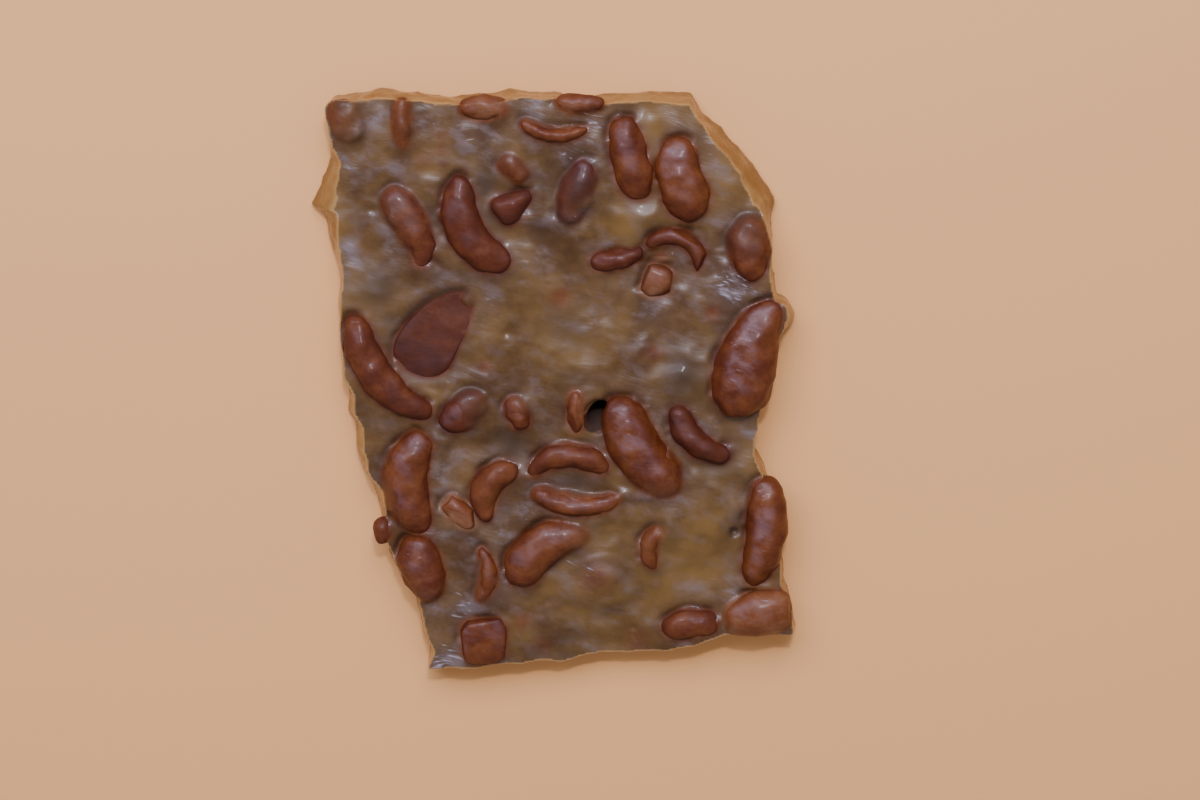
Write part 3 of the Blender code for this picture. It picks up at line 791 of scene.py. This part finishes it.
class Breaks:
    """The snapped outline of the frame's candy: corners at its widest and how the side leans."""

    def __init__(self, candy):
        work = bmesh.new()
        work.from_mesh(candy.data)
        bmesh.ops.remove_doubles(work, verts=work.verts, dist=WELD * MM)
        work.verts.index_update()
        foot = [
            edge for edge in edges_at(work, 0.0)
            if sum(face.normal.z < -0.99 for face in edge.link_faces) == 1
        ]
        places = np.array([corner.co[:] for corner in work.verts]) / MM
        outline = max(ordered_loops(edges_at(work, OUTLINE_LEVEL)), key=len)
        hole = min(ordered_loops(foot), key=lambda loop: np.ptp(places[loop, 0]))
        work.free()
        outline = places[outline, :2]
        if self.turn(outline) < 0.0:
            outline = outline[::-1]
        self.corners = outline
        self.hole = places[hole, :2]
        ahead = np.roll(outline, -1, axis=0) - np.roll(outline, 1, axis=0)
        ahead /= np.linalg.norm(ahead, axis=1)[:, None]
        self.inwards = np.column_stack([-ahead[:, 1], ahead[:, 0]])
        knee = places[np.abs(places[:, 2] - KNEE_LEVEL) < LEVEL_SLACK, :2]
        self.lean = np.array([
            self.lean_at(corner, inward, knee)
            for corner, inward in zip(self.corners, self.inwards)
        ])

    @staticmethod
    def turn(loop):
        """Twice the area inside a loop, above zero when it runs counter-clockwise."""
        after = np.roll(loop, -1, axis=0)
        return float(np.sum(loop[:, 0] * after[:, 1] - after[:, 0] * loop[:, 1]))

    @staticmethod
    def lean_at(corner, inward, knee):
        """How far the rim stands inside the outline at one corner."""
        offset = knee - corner
        along = offset @ inward
        aside = np.abs(offset @ np.array([-inward[1], inward[0]]))
        fits = (aside < 0.05) & (along > -0.02) & (along < 3.0)
        if not fits.any():
            return PLAIN_LEAN
        return along[fits][np.argmin(aside[fits])] / LEAN_SHARES[2]

    def sampled(self, spacing):
        """Corners, inward ways and leans at even steps between the outline's own corners."""
        known = np.column_stack([self.corners, self.inwards, self.lean])
        rows = []
        for here, after in zip(known, np.roll(known, -1, axis=0)):
            steps = max(1, round(np.linalg.norm(after[:2] - here[:2]) / spacing))
            for step in range(steps):
                share = step / steps
                rows.append(here * (1 - share) + after * share)
        rows = np.array(rows)
        return self.softened(rows[:, :2]), rows[:, 2:4], self.softened(rows[:, 4])

    @staticmethod
    def softened(values):
        """Corners taken off a loop of values by averaging each with its neighbours."""
        for _ in range(2):
            values = (np.roll(values, 1, axis=0) + 2.0 * values + np.roll(values, -1, axis=0)) / 4.0
        return values


# Numbers that have no common rhythm, so that cells side by side get unlike middles.
CELL_MIX = np.array([[127.1, 269.5, 419.2], [311.7, 183.3, 371.9], [74.7, 246.1, 124.6]])


def shells(points, span, seed):
    """Hollows with sharp ridges between, as glassy candy flakes: 1 in a hollow and 0 on a ridge."""
    cells = np.asarray(points) / span
    home = np.floor(cells)
    nearest = np.full(len(cells), 9.0)
    for shift in np.ndindex(3, 3, 3):
        cell = home + np.array(shift) - 1.0
        draw = np.sin(cell @ CELL_MIX + seed)
        middle = cell + 0.5 + 0.42 * np.sin(draw * 43758.5)
        nearest = np.minimum(nearest, np.sum((cells - middle) ** 2, axis=1))
    return 1.0 - np.clip(nearest, 0.0, 1.0)


def wall_ring(corners, inwards, leans, height):
    """The plan of the broken side at a height for each of its corners."""
    share = np.interp(height, LEAN_LEVELS, LEAN_SHARES)
    foot = FOOT_ROUND * np.clip(1.0 - height / OUTLINE_LEVEL, 0.0, 1.0) ** 2
    places = np.column_stack([corners, height])
    rough = sum(
        depth * (shells(places, span, seed) - SHELL_MIDDLE) for depth, span, seed in BREAK_SHELLS)
    rough += layered(fracture, places, BREAK_GRAIN)
    return corners + inwards * (leans * share + foot + rough)[:, None]


def filled_plan(outer, hole, step, raster):
    """Faces between an outline and the hole: even squares, with a fitted band at both loops.

    Corner numbers count the outline's points first, then the hole's, then the returned ones.
    """
    x, y = raster.x, raster.y
    to_loop, _ = nearest_distance(x, y, np.vstack([outer, hole]).tolist())
    used = inside_loop(x, y, outer) & ~inside_loop(x, y, hole) & (to_loop > LOOP_GAP * step)
    square = used[:-1, :-1] & used[1:, :-1] & used[:-1, 1:] & used[1:, 1:]
    kept = np.zeros_like(used)
    for up, right in np.ndindex(2, 2):
        kept[up:up + square.shape[0], right:right + square.shape[1]] |= square
    number = np.full(used.shape, -1)
    first = len(outer) + len(hole)
    number[kept] = first + np.arange(kept.sum())
    corners = np.column_stack([x[kept], y[kept]])
    rows, columns = np.nonzero(square)
    faces = np.column_stack([
        number[rows, columns], number[rows, columns + 1],
        number[rows + 1, columns + 1], number[rows + 1, columns]]).tolist()

    sides = Counter(
        (min(side), max(side)) for face in faces for side in zip(face, face[1:] + face[:1]))
    border = [side for side, count in sides.items() if count == 1]
    border_corners = sorted({corner for side in border for corner in side})
    local = {corner: first + index for index, corner in enumerate(border_corners)}
    places = np.vstack([outer, hole, corners[np.array(border_corners) - first]])
    edges = []
    for start, count in ((0, len(outer)), (len(outer), len(hole))):
        edges += [(start + index, start + (index + 1) % count) for index in range(count)]
    edges += [(local[a], local[b]) for a, b in border]
    result = delaunay_2d_cdt([Vector(place) for place in places.tolist()], edges, [], 0, 1e-6, True)
    back = list(range(first)) + border_corners
    triangles = np.array([[result[3][corner][0] for corner in face] for face in result[2]])
    middle_x, middle_y = places[triangles].mean(axis=1).T
    column = np.floor((middle_x - raster.low[0]) / step).astype(int)
    row = np.floor((middle_y - raster.low[1]) / step).astype(int)
    row = np.clip(row, 0, square.shape[0] - 1)
    column = np.clip(column, 0, square.shape[1] - 1)
    wanted = inside_loop(middle_x, middle_y, outer) & ~inside_loop(middle_x, middle_y, hole)
    wanted &= ~square[row, column]
    faces += [tuple(back[corner] for corner in triangle) for triangle in triangles[wanted].tolist()]
    return corners, faces


def hole_ring(hole, share):
    """The hole's plan, from share 0 at the poured face to share 1 on the tray."""
    middle_x, middle_y, reach_x, reach_y = hole
    turn = np.linspace(0.0, 2.0 * math.pi, HOLE_POINTS, endpoint=False)
    size = HOLE_MOUTH
    for less, start, end in HOLE_NARROWS:
        size = size - less * smooth_step(start, end, share)
    size = size + HOLE_LOBES * np.cos(3.0 * turn + 1.0)
    x = reach_x * size * np.cos(turn)
    y = reach_y * size * np.sin(turn) + HOLE_LEAN * reach_y * share
    return np.column_stack([middle_x + x + HOLE_SKEW * y, middle_y + y])


def side_rings(breaks, raster, height):
    """Rings of the broken side, from the rim of the poured face down to the tray."""
    corners, inwards, leans = breaks.sampled(STEP)
    level = np.full(len(corners), RIM_LEVEL)
    for _ in range(FIT_ROUNDS):
        rim = wall_ring(corners, inwards, leans, level)
        level = raster.read(height, rim[:, 0], rim[:, 1])
    rings = []
    for share in WALL_SHARES:
        ring_height = level * (1.0 - share)
        rings.append(np.column_stack([wall_ring(corners, inwards, leans, ring_height), ring_height]))
    return rings


def hole_rings(hole, raster, height):
    """Rings of the hole's wall, from the poured face down to the tray."""
    top = hole_ring(hole, 0.0)
    level = raster.read(height, top[:, 0], top[:, 1])
    return [np.column_stack([hole_ring(hole, share), level * (1.0 - share)]) for share in WALL_SHARES]


def joined_nuts(nuts):
    """A search tree over all the nuts, and the number of the nut that each face belongs to."""
    points, faces, face_nut = [], [], []
    for number, nut in enumerate(nuts):
        first = sum(len(part) for part in points)
        points.append(points_of(nut.data))
        own = [[corner + first for corner in face.vertices] for face in nut.data.polygons]
        faces += own
        face_nut += [number] * len(own)
    return BVHTree.FromPolygons(np.vstack(points).tolist(), faces), np.array(face_nut)


def make_candy(nuts, material):
    """The candy: poured face, broken sides, the hole's wall and the flat underside."""
    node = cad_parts["candy"]
    breaks = Breaks(node)
    low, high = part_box("candy")
    high = (high.x / MM + 1.0, high.y / MM + 1.0)
    raster = Raster((low.x / MM - 1.0, low.y / MM - 1.0), high, STEP)
    hole_middle = (breaks.hole.max(axis=0) + breaks.hole.min(axis=0)) / 2.0
    hole = (*hole_middle, *(np.ptp(breaks.hole, axis=0) / 2.0))
    nut_tree, face_nut = joined_nuts(nuts)
    candy_tree = BVHTree.FromPolygons(
        points_of(node.data).tolist(), [face.vertices[:] for face in node.data.polygons])
    nut_map = NutMap(raster, nut_tree, face_nut)
    height, crease_shade = poured_face(raster, nuts, nut_map, candy_tree, hole)

    rings = side_rings(breaks, raster, height)
    inner_rings = hole_rings(hole, raster, height)
    around = len(rings[0])
    hole_first = around * len(rings)
    first = hole_first + HOLE_POINTS * len(rings)
    faces = []
    for row in range(WALL_ROWS):
        for start, count in ((0, around), (hole_first, HOLE_POINTS)):
            upper, lower = start + row * count, start + (row + 1) * count
            for index in range(count):
                after = (index + 1) % count
                faces.append((upper + index, lower + index, lower + after, upper + after))

    def placed(plan_faces, row, first_core):
        """Faces of a filled plan with the numbers of the walls' own corners."""
        back = [row * around + index for index in range(around)]
        back += [hole_first + row * HOLE_POINTS + index for index in range(HOLE_POINTS)]
        return [
            tuple(back[c] if c < len(back) else c - len(back) + first_core for c in face)
            for face in plan_faces
        ]

    upper, plan_faces = filled_plan(rings[0][:, :2], inner_rings[0][:, :2], STEP, raster)
    faces += placed(plan_faces, 0, first)
    under_first = first + len(upper)
    upper = np.column_stack([upper, raster.read(height, upper[:, 0], upper[:, 1])])
    under_raster = Raster(raster.low, high, UNDER_STEP)
    under, plan_faces = filled_plan(rings[-1][:, :2], inner_rings[-1][:, :2], UNDER_STEP, under_raster)
    faces += [face[::-1] for face in placed(plan_faces, WALL_ROWS, under_first)]
    dimples = patchy(np.column_stack([under, np.full(len(under), 40.0)]), 6.0)
    under = np.column_stack([under, DIMPLE_DEPTH * np.clip(dimples - 0.25, 0, 1)])
    points = np.vstack([*rings, *inner_rings, upper, under])

    thing = mesh_object("brittle_candy", points, faces, material)
    face_outwards(thing)
    thing.data.set_sharp_from_angle(angle=math.radians(SHARP_EDGE))
    tint_nuts(thing.data, points, (first, under_first), nuts, nut_tree, face_nut)
    tint_candy(thing.data, points, (hole_first, first, under_first), raster, height, crease_shade)
    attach(thing, "root")
    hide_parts("candy")
    return thing


def tint_nuts(mesh, points, poured, nuts, nut_tree, face_nut):
    """How much of a nut shows through the candy, and how dark that nut's roast is."""
    tones = [dressing_of(nut.name).tone for nut in nuts]
    near = np.zeros(len(points))
    tone = np.full(len(points), 0.5)
    for number, place in enumerate(points.tolist()):
        hit, _, face, distance = nut_tree.find_nearest(place, GLOW_END)
        if hit is not None:
            near[number] = SKIN_SHARE * math.exp(-(distance / SEE_THROUGH) ** 2)
            near[number] += GLOW_SHARE * math.exp(-(distance / GLOW) ** 2)
            tone[number] = tones[face_nut[face]]
    crumbs = slice(*poured)
    buried = spots(points[crumbs, 0], points[crumbs, 1], BURIED_CRUMBS)
    near[crumbs] = np.maximum(near[crumbs], buried)
    paint(mesh, "nut_near", near)
    paint(mesh, "tone", tone)


def tint_candy(mesh, points, starts, raster, height, crease_shade):
    """Fields over the candy that its material reads; starts are the first corners of its parts."""
    hole_first, first, under_first = starts
    x, y, z = points.T
    number = np.arange(len(points))
    poured = (number >= first) & (number < under_first)
    paint(mesh, "broken", number < hole_first)
    paint(mesh, "rim", RIM_PALE * (1.0 - smooth_step(0.0, 1.1, raster.read(height, x, y) - z)))
    paint(mesh, "low", FOOT_DARK * (1.0 - smooth_step(0.3, 4.2, z)))
    paint(mesh, "golden", spots(x, y, GOLDEN_PATCHES) * poured)
    # The creases and halos beside the nuts are partly darker thick candy and partly painted shade; the
    # dark patches and the hole are painted shade.
    deep = np.maximum(spots(x, y, SHADE_PATCHES), CREASE_SHADE * raster.read(crease_shade, x, y))
    cloud = smooth_step(0.15, 0.75, patchy(points * [1.0, 1.0, 0.0] + 70.0, (9.0, 5.0, 5.0)))
    # Partly cloudy candy, partly painted sheen.
    milky = np.maximum(spots(x, y, MILK_AND_SHEEN_PATCHES), CLOUD_MILK * cloud) * (1.0 - deep)
    paint(mesh, "milky", milky * poured)
    deep = deep * poured
    # Painted shade in the hole.
    deep[hole_first:first] = HOLE_SHADE
    paint(mesh, "deep", deep)


# ---------------------------------------------------------------- materials

# Colours as shares of red, green and blue.
ROAST_SHADES = [           # from the darkest roast to the lightest
    (0.0, (0.045, 0.007, 0.003)), (0.35, (0.092, 0.016, 0.002)),
    (0.62, (0.150, 0.039, 0.007)), (1.0, (0.222, 0.096, 0.045)),
]
DARK_CARAMEL = (0.066, 0.026, 0.006)
CARAMEL = (0.150, 0.076, 0.019)
GOLDEN_CARAMEL = (0.225, 0.120, 0.029)
# milky candy with a painted sheen over it
MILK_AND_SHEEN_CARAMEL = (0.192, 0.144, 0.142)
# painted shade, partly darker thick candy
DEEP_SHADE_CARAMEL = (0.036, 0.017, 0.009)
DARK_AMBER = (0.215, 0.092, 0.018)
AMBER = (0.310, 0.158, 0.045)
RIM_AMBER = (0.400, 0.235, 0.085)
FOOT_AMBER = (0.120, 0.042, 0.008)
# painted glints on the candy, partly pale pulled sugar
CANDY_GLINT = (0.48, 0.44, 0.52)
SUNK_SKIN = (0.050, 0.008, 0.002)
# painted sheen on the nuts
SHEEN_SKIN = (0.215, 0.130, 0.145)
# painted glints on the nuts
SKIN_GLINT = (0.44, 0.36, 0.44)
FLOOR_CREAM = (0.90, 0.445, 0.160)
ROOM_WHITE = (0.95, 0.91, 0.93)


class Shade:
    """A number or colour that changes over a surface; sums and products of it add Math nodes."""

    def __init__(self, nodes, socket):
        self.nodes = nodes
        self.socket = socket

    def __add__(self, other):
        return self.nodes.math("ADD", self, other)

    def __sub__(self, other):
        return self.nodes.math("SUBTRACT", self, other)

    def __rsub__(self, other):
        return self.nodes.math("SUBTRACT", other, self)

    def __mul__(self, other):
        return self.nodes.math("MULTIPLY", self, other)

    __radd__ = __add__
    __rmul__ = __mul__


class Nodes:
    """Short hand for building one node tree."""

    def __init__(self, tree):
        self.tree = tree

    def put(self, value, socket):
        """Link a shade to a socket, or set the socket to a plain number or colour."""
        if isinstance(value, Shade):
            self.tree.links.new(value.socket, socket)
        else:
            socket.default_value = value

    def put_all(self, inputs, node):
        for key, value in inputs.items():
            self.put(value, node.inputs[key])

    def node(self, kind, inputs, **settings):
        """A new node with its settings and inputs."""
        node = self.tree.nodes.new(kind)
        for name, value in settings.items():
            setattr(node, name, value)
        self.put_all(inputs, node)
        return node

    def add(self, kind, inputs, output, **settings):
        """What one output of a new node gives."""
        return Shade(self, self.node(kind, inputs, **settings).outputs[output])

    def math(self, operation, first, second, clamp=False):
        return self.add("ShaderNodeMath", {0: first, 1: second}, 0, operation=operation, use_clamp=clamp)

    def mix(self, share, first, second):
        """The first colour where share is 0 and the second where it is 1."""
        first, second = (
            value if isinstance(value, Shade) else (*value, 1.0) for value in (first, second))
        return self.add("ShaderNodeMix", {0: share, 6: first, 7: second}, 2, data_type="RGBA")

    def attribute(self, name):
        """What paint kept on the mesh under this name."""
        return self.add("ShaderNodeAttribute", {}, "Fac", attribute_name=name)

    def noise(self, vector, scale, detail=2.0, roughness=0.5):
        inputs = {"Vector": vector, "Scale": scale, "Detail": detail, "Roughness": roughness}
        return self.add("ShaderNodeTexNoise", inputs, "Fac")

    def between(self, value, low, high):
        """0 below low, 1 above high, and an eased slope between."""
        inputs = {"Value": value, "From Min": low, "From Max": high}
        return self.add("ShaderNodeMapRange", inputs, "Result", interpolation_type="SMOOTHSTEP")

    def stretched(self, vector, turn, scale):
        """The vector turned, and drawn out by scale."""
        inputs = {"Vector": vector, "Rotation": (0.0, 0.0, math.radians(turn)), "Scale": scale}
        return self.add("ShaderNodeMapping", inputs, "Vector", vector_type="TEXTURE")

    def bump(self, height, strength, distance):
        inputs = {"Strength": strength, "Distance": distance, "Height": height}
        return self.add("ShaderNodeBump", inputs, "Normal")

    def group(self, tree, inputs):
        """What the outputs of a placed group give, in their order."""
        node = self.node("ShaderNodeGroup", inputs, node_tree=tree)
        return [Shade(self, socket) for socket in node.outputs]


def new_group(name, inputs, outputs):
    """An empty node group with named sockets, its inputs as shades, and the node that ends it."""
    tree = bpy.data.node_groups.new(name, "ShaderNodeTree")
    for label, kind in inputs.items():
        tree.interface.new_socket(label, in_out="INPUT", socket_type=kind)
    for label, kind in outputs.items():
        tree.interface.new_socket(label, in_out="OUTPUT", socket_type=kind)
    nodes = Nodes(tree)
    entry = tree.nodes.new("NodeGroupInput")
    leave = tree.nodes.new("NodeGroupOutput")
    return nodes, [Shade(nodes, entry.outputs[label]) for label in inputs], leave.inputs


def roast_group():
    """Colour of a roasted cashew's skin: blotches, darker hollows and a few rubbed light spots."""
    nodes, (vector, tone), outputs = new_group(
        "roasted skin", {"Vector": "NodeSocketVector", "Tone": "NodeSocketFloat"},
        {"Color": "NodeSocketColor"})
    blotch = nodes.noise(vector, 260.0, 3.0, 0.55)
    fine = nodes.noise(vector, 1400.0, 3.0, 0.6)
    roast = tone + 0.9 * (blotch - 0.5) + 0.3 * (fine - 0.5)
    ramp = nodes.node("ShaderNodeValToRGB", {"Fac": roast})
    stops = ramp.color_ramp.elements
    for place, _ in ROAST_SHADES[1:-1]:
        stops.new(place)
    for stop, (_, shade) in zip(stops, ROAST_SHADES):
        stop.color = (*shade, 1.0)
    nodes.put(Shade(nodes, ramp.outputs["Color"]), outputs["Color"])
    return nodes.tree


def streak_and_glint_group():
    """Fine pale streaks drawn along the pull of the candy, as relief and as a mask of painted glints."""
    nodes, (vector, amount), outputs = new_group(
        "pulled streaks", {"Vector": "NodeSocketVector", "Amount": "NodeSocketFloat"},
        {"Mask": "NodeSocketFloat", "Height": "NodeSocketFloat"})
    warp = nodes.add("ShaderNodeTexNoise", {"Vector": vector, "Scale": 90.0, "Detail": 1.0}, "Color")
    offset = nodes.add("ShaderNodeVectorMath", {0: warp, 3: 0.006}, 0, operation="SCALE")
    bent = nodes.add("ShaderNodeVectorMath", {0: vector, 1: offset}, 0)
    drawn = nodes.stretched(bent, -14.0, (5.0, 1.0, 1.0))
    streak = nodes.noise(drawn, 1700.0)
    cluster = nodes.noise(vector, 110.0)
    above = streak - (0.83 - amount * (0.50 * cluster))
    nodes.put(nodes.between(above, -0.02, 0.17), outputs["Mask"])
    nodes.put(0.6 * nodes.noise(drawn, 620.0) + 0.4 * streak, outputs["Height"])
    return nodes.tree


def new_material(name):
    """A new material's nodes and its shader."""
    material = bpy.data.materials.new(name)
    material.use_nodes = True
    return material, Nodes(material.node_tree), material.node_tree.nodes["Principled BSDF"]


def candy_body(nodes, place, clouds):
    """Colour of the poured face: caramel, golden and milky from place to place, with a painted sheen
    over the milky places and painted shade in the creases, hollows and the hole.
    """
    milky = nodes.attribute("milky")
    drift = nodes.noise(nodes.stretched(place, -12.0, (1.8, 1.0, 1.0)), 700.0, 4.0, 0.6)
    body = nodes.mix(nodes.between(0.84 * clouds + 0.16 * drift, 0.34, 0.66), DARK_CARAMEL, CARAMEL)
    body = nodes.mix(0.85 * nodes.attribute("golden"), body, GOLDEN_CARAMEL)
    # Painted sheen: a lavender-grey veil, strongest in the milky places.
    sheen = nodes.noise(nodes.stretched(place, -20.0, (1.5, 1.0, 1.0)), 260.0, 4.0, 0.6)
    sheen = nodes.between(sheen, 0.46, 0.66) * (0.20 + 0.7 * milky)
    body = nodes.mix(nodes.math("ADD", sheen, 0.25 * milky, clamp=True), body, MILK_AND_SHEEN_CARAMEL)
    # Painted shade in the creases, hollows and the hole, partly darker thick candy.
    return nodes.mix(0.8 * nodes.attribute("deep"), body, DEEP_SHADE_CARAMEL)


def broken_amber(nodes, place):
    """Colour of the broken sides: clear amber, pale at the rim and dark at the foot."""
    cloud = nodes.noise(nodes.stretched(place, 0.0, (2.2, 2.2, 1.0)), 420.0)
    amber = nodes.mix(nodes.between(cloud, 0.30, 0.70), DARK_AMBER, AMBER)
    amber = nodes.mix(nodes.attribute("rim"), amber, RIM_AMBER)
    return nodes.mix(nodes.attribute("low"), amber, FOOT_AMBER)


def candy_material(roast, streaks):
    """Golden brown candy, cloudy in places, with nuts showing where it is thin."""
    material, nodes, shader = new_material("caramel_candy")
    place = nodes.add("ShaderNodeTexCoord", {}, "Object")
    clouds = nodes.noise(place, 90.0, 4.0, 0.6)
    milky, deep, broken, near = map(nodes.attribute, ("milky", "deep", "broken", "nut_near"))
    body = nodes.mix(0.95 * broken, candy_body(nodes, place, clouds), broken_amber(nodes, place))
    [skin] = nodes.group(roast, {"Vector": place, "Tone": nodes.attribute("tone")})
    body = nodes.mix(near, body, skin)
    glints, lines = nodes.group(streaks, {"Vector": place, "Amount": 0.08 + milky})
    # Pale streaks along the pull: partly pale pulled sugar, partly painted glints.
    body = nodes.mix(0.55 * (glints * (1.0 - broken)), body, CANDY_GLINT)
    pocks = 1.0 - nodes.between(nodes.noise(place, 1300.0, 1.0, 0.4), 0.66, 0.74)
    relief = lines * (0.28 + 0.8 * milky) * (1.0 - broken) + pocks * 0.35 * broken
    finish = {
        "Base Color": body,
        "Roughness": 0.28 + 0.16 * clouds + 0.14 * near + 0.30 * deep - 0.14 * broken,
        "Normal": nodes.bump(relief, 0.8, 0.3 * MM),
        "Subsurface Weight": 0.12,
        "Subsurface Radius": (1.0, 0.45, 0.15),
        "Subsurface Scale": 2.0 * MM,
        "Specular IOR Level": 0.4,
        "Coat Weight": 0.15,
        "Coat Roughness": 0.15,
    }
    nodes.put_all(finish, shader)
    return material


def nut_material(roast, streaks):
    """Roasted cashew skin under a thin shining film, with a painted sheen and painted glints on its lit
    side.
    """
    material, nodes, shader = new_material("roasted_cashew")
    place = nodes.add("ShaderNodeTexCoord", {}, "Object")
    crown = nodes.attribute("crown")
    [skin] = nodes.group(roast, {"Vector": place, "Tone": nodes.attribute("tone")})
    glints, lines = nodes.group(streaks, {"Vector": place, "Amount": 0.10 + 1.35 * crown})
    body = nodes.mix(0.5 * nodes.attribute("sunk"), skin, SUNK_SKIN)
    # Painted sheen: a milky lavender veil on the lit side of the nut.
    sheen = nodes.noise(nodes.stretched(place, -20.0, (1.8, 1.0, 1.0)), 300.0, 3.0, 0.6)
    body = nodes.mix(nodes.between(sheen, 0.40, 0.66) * crown, body, SHEEN_SKIN)
    # The pale streaks on the skin are painted glints.
    finish = {
        "Base Color": nodes.mix(0.5 * glints, body, SKIN_GLINT),
        "Roughness": 0.32 + 0.2 * nodes.noise(place, 500.0, 3.0) + 0.28 * nodes.attribute("dull"),
        "Normal": nodes.bump(lines, 0.6, 0.18 * MM),
        "Specular IOR Level": 0.3,
        "Coat Weight": 0.12,
        "Coat Roughness": 0.20,
    }
    nodes.put_all(finish, shader)
    return material


# ---------------------------------------------------------------- stage

def make_stage():
    """A plain pale floor."""
    bpy.ops.mesh.primitive_plane_add(size=4.0, location=(0.0, 0.0, 0.0))
    floor = bpy.context.object
    floor.location.z = -0.2 * MM
    floor.name = "floor"
    material, _, shader = new_material("pale_floor")
    shader.inputs["Base Color"].default_value = (*FLOOR_CREAM, 1.0)
    shader.inputs["Roughness"].default_value = 0.8
    floor.data.materials.append(material)


def make_light(name, place, size, power, tint):
    """A soft rectangular light that looks at the slab."""
    lamp = bpy.data.lights.new(name, "AREA")
    lamp.shape = "RECTANGLE"
    lamp.size, lamp.size_y = size
    lamp.energy = power
    lamp.color = tint
    thing = bpy.data.objects.new(name, lamp)
    thing.location = place
    thing.rotation_euler = (-Vector(place)).to_track_quat("-Z", "Y").to_euler()
    bpy.context.scene.collection.objects.link(thing)


def make_camera():
    """Looks down on the slab, tilted towards its far end."""
    tilt = math.radians(13.0)
    distance = 0.5
    aim = Vector((0.00805, -0.00175, 0.0075))
    lens = bpy.data.cameras.new("camera")
    lens.sensor_width = 36.0
    lens.lens = 81.06
    lens.clip_start = 0.01
    camera = bpy.data.objects.new("camera", lens)
    camera.location = aim + distance * Vector((0.0, math.sin(tilt), math.cos(tilt)))
    camera.rotation_euler = (-tilt, 0.0, 0.0)
    bpy.context.scene.collection.objects.link(camera)
    bpy.context.scene.camera = camera


def make_lights():
    """A pale room, a wide window past the far end and a small lamp for the glints."""
    world = bpy.data.worlds.new("room")
    world.use_nodes = True
    background = world.node_tree.nodes["Background"]
    background.inputs["Color"].default_value = (*ROOM_WHITE, 1.0)
    background.inputs["Strength"].default_value = 0.42
    bpy.context.scene.world = world
    make_light("window", place=(-0.14, 0.56, 0.68), size=(0.9, 0.46), power=10.0, tint=(0.74, 0.76, 1.0))
    make_light("lamp", place=(0.04, 0.36, 0.64), size=(0.06, 0.035), power=1.9, tint=(0.94, 0.92, 1.0))


make_stage()
make_camera()
make_lights()
roasted_skin = roast_group()
pulled_streaks_and_glints = streak_and_glint_group()
nut_finish = nut_material(roasted_skin, pulled_streaks_and_glints)
candy_finish = candy_material(roasted_skin, pulled_streaks_and_glints)
cashews = [
    make_nut(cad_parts[name], nut_finish)
    for name in sorted(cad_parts) if name.startswith(PREFIX)
]
make_candy(cashews, candy_finish)
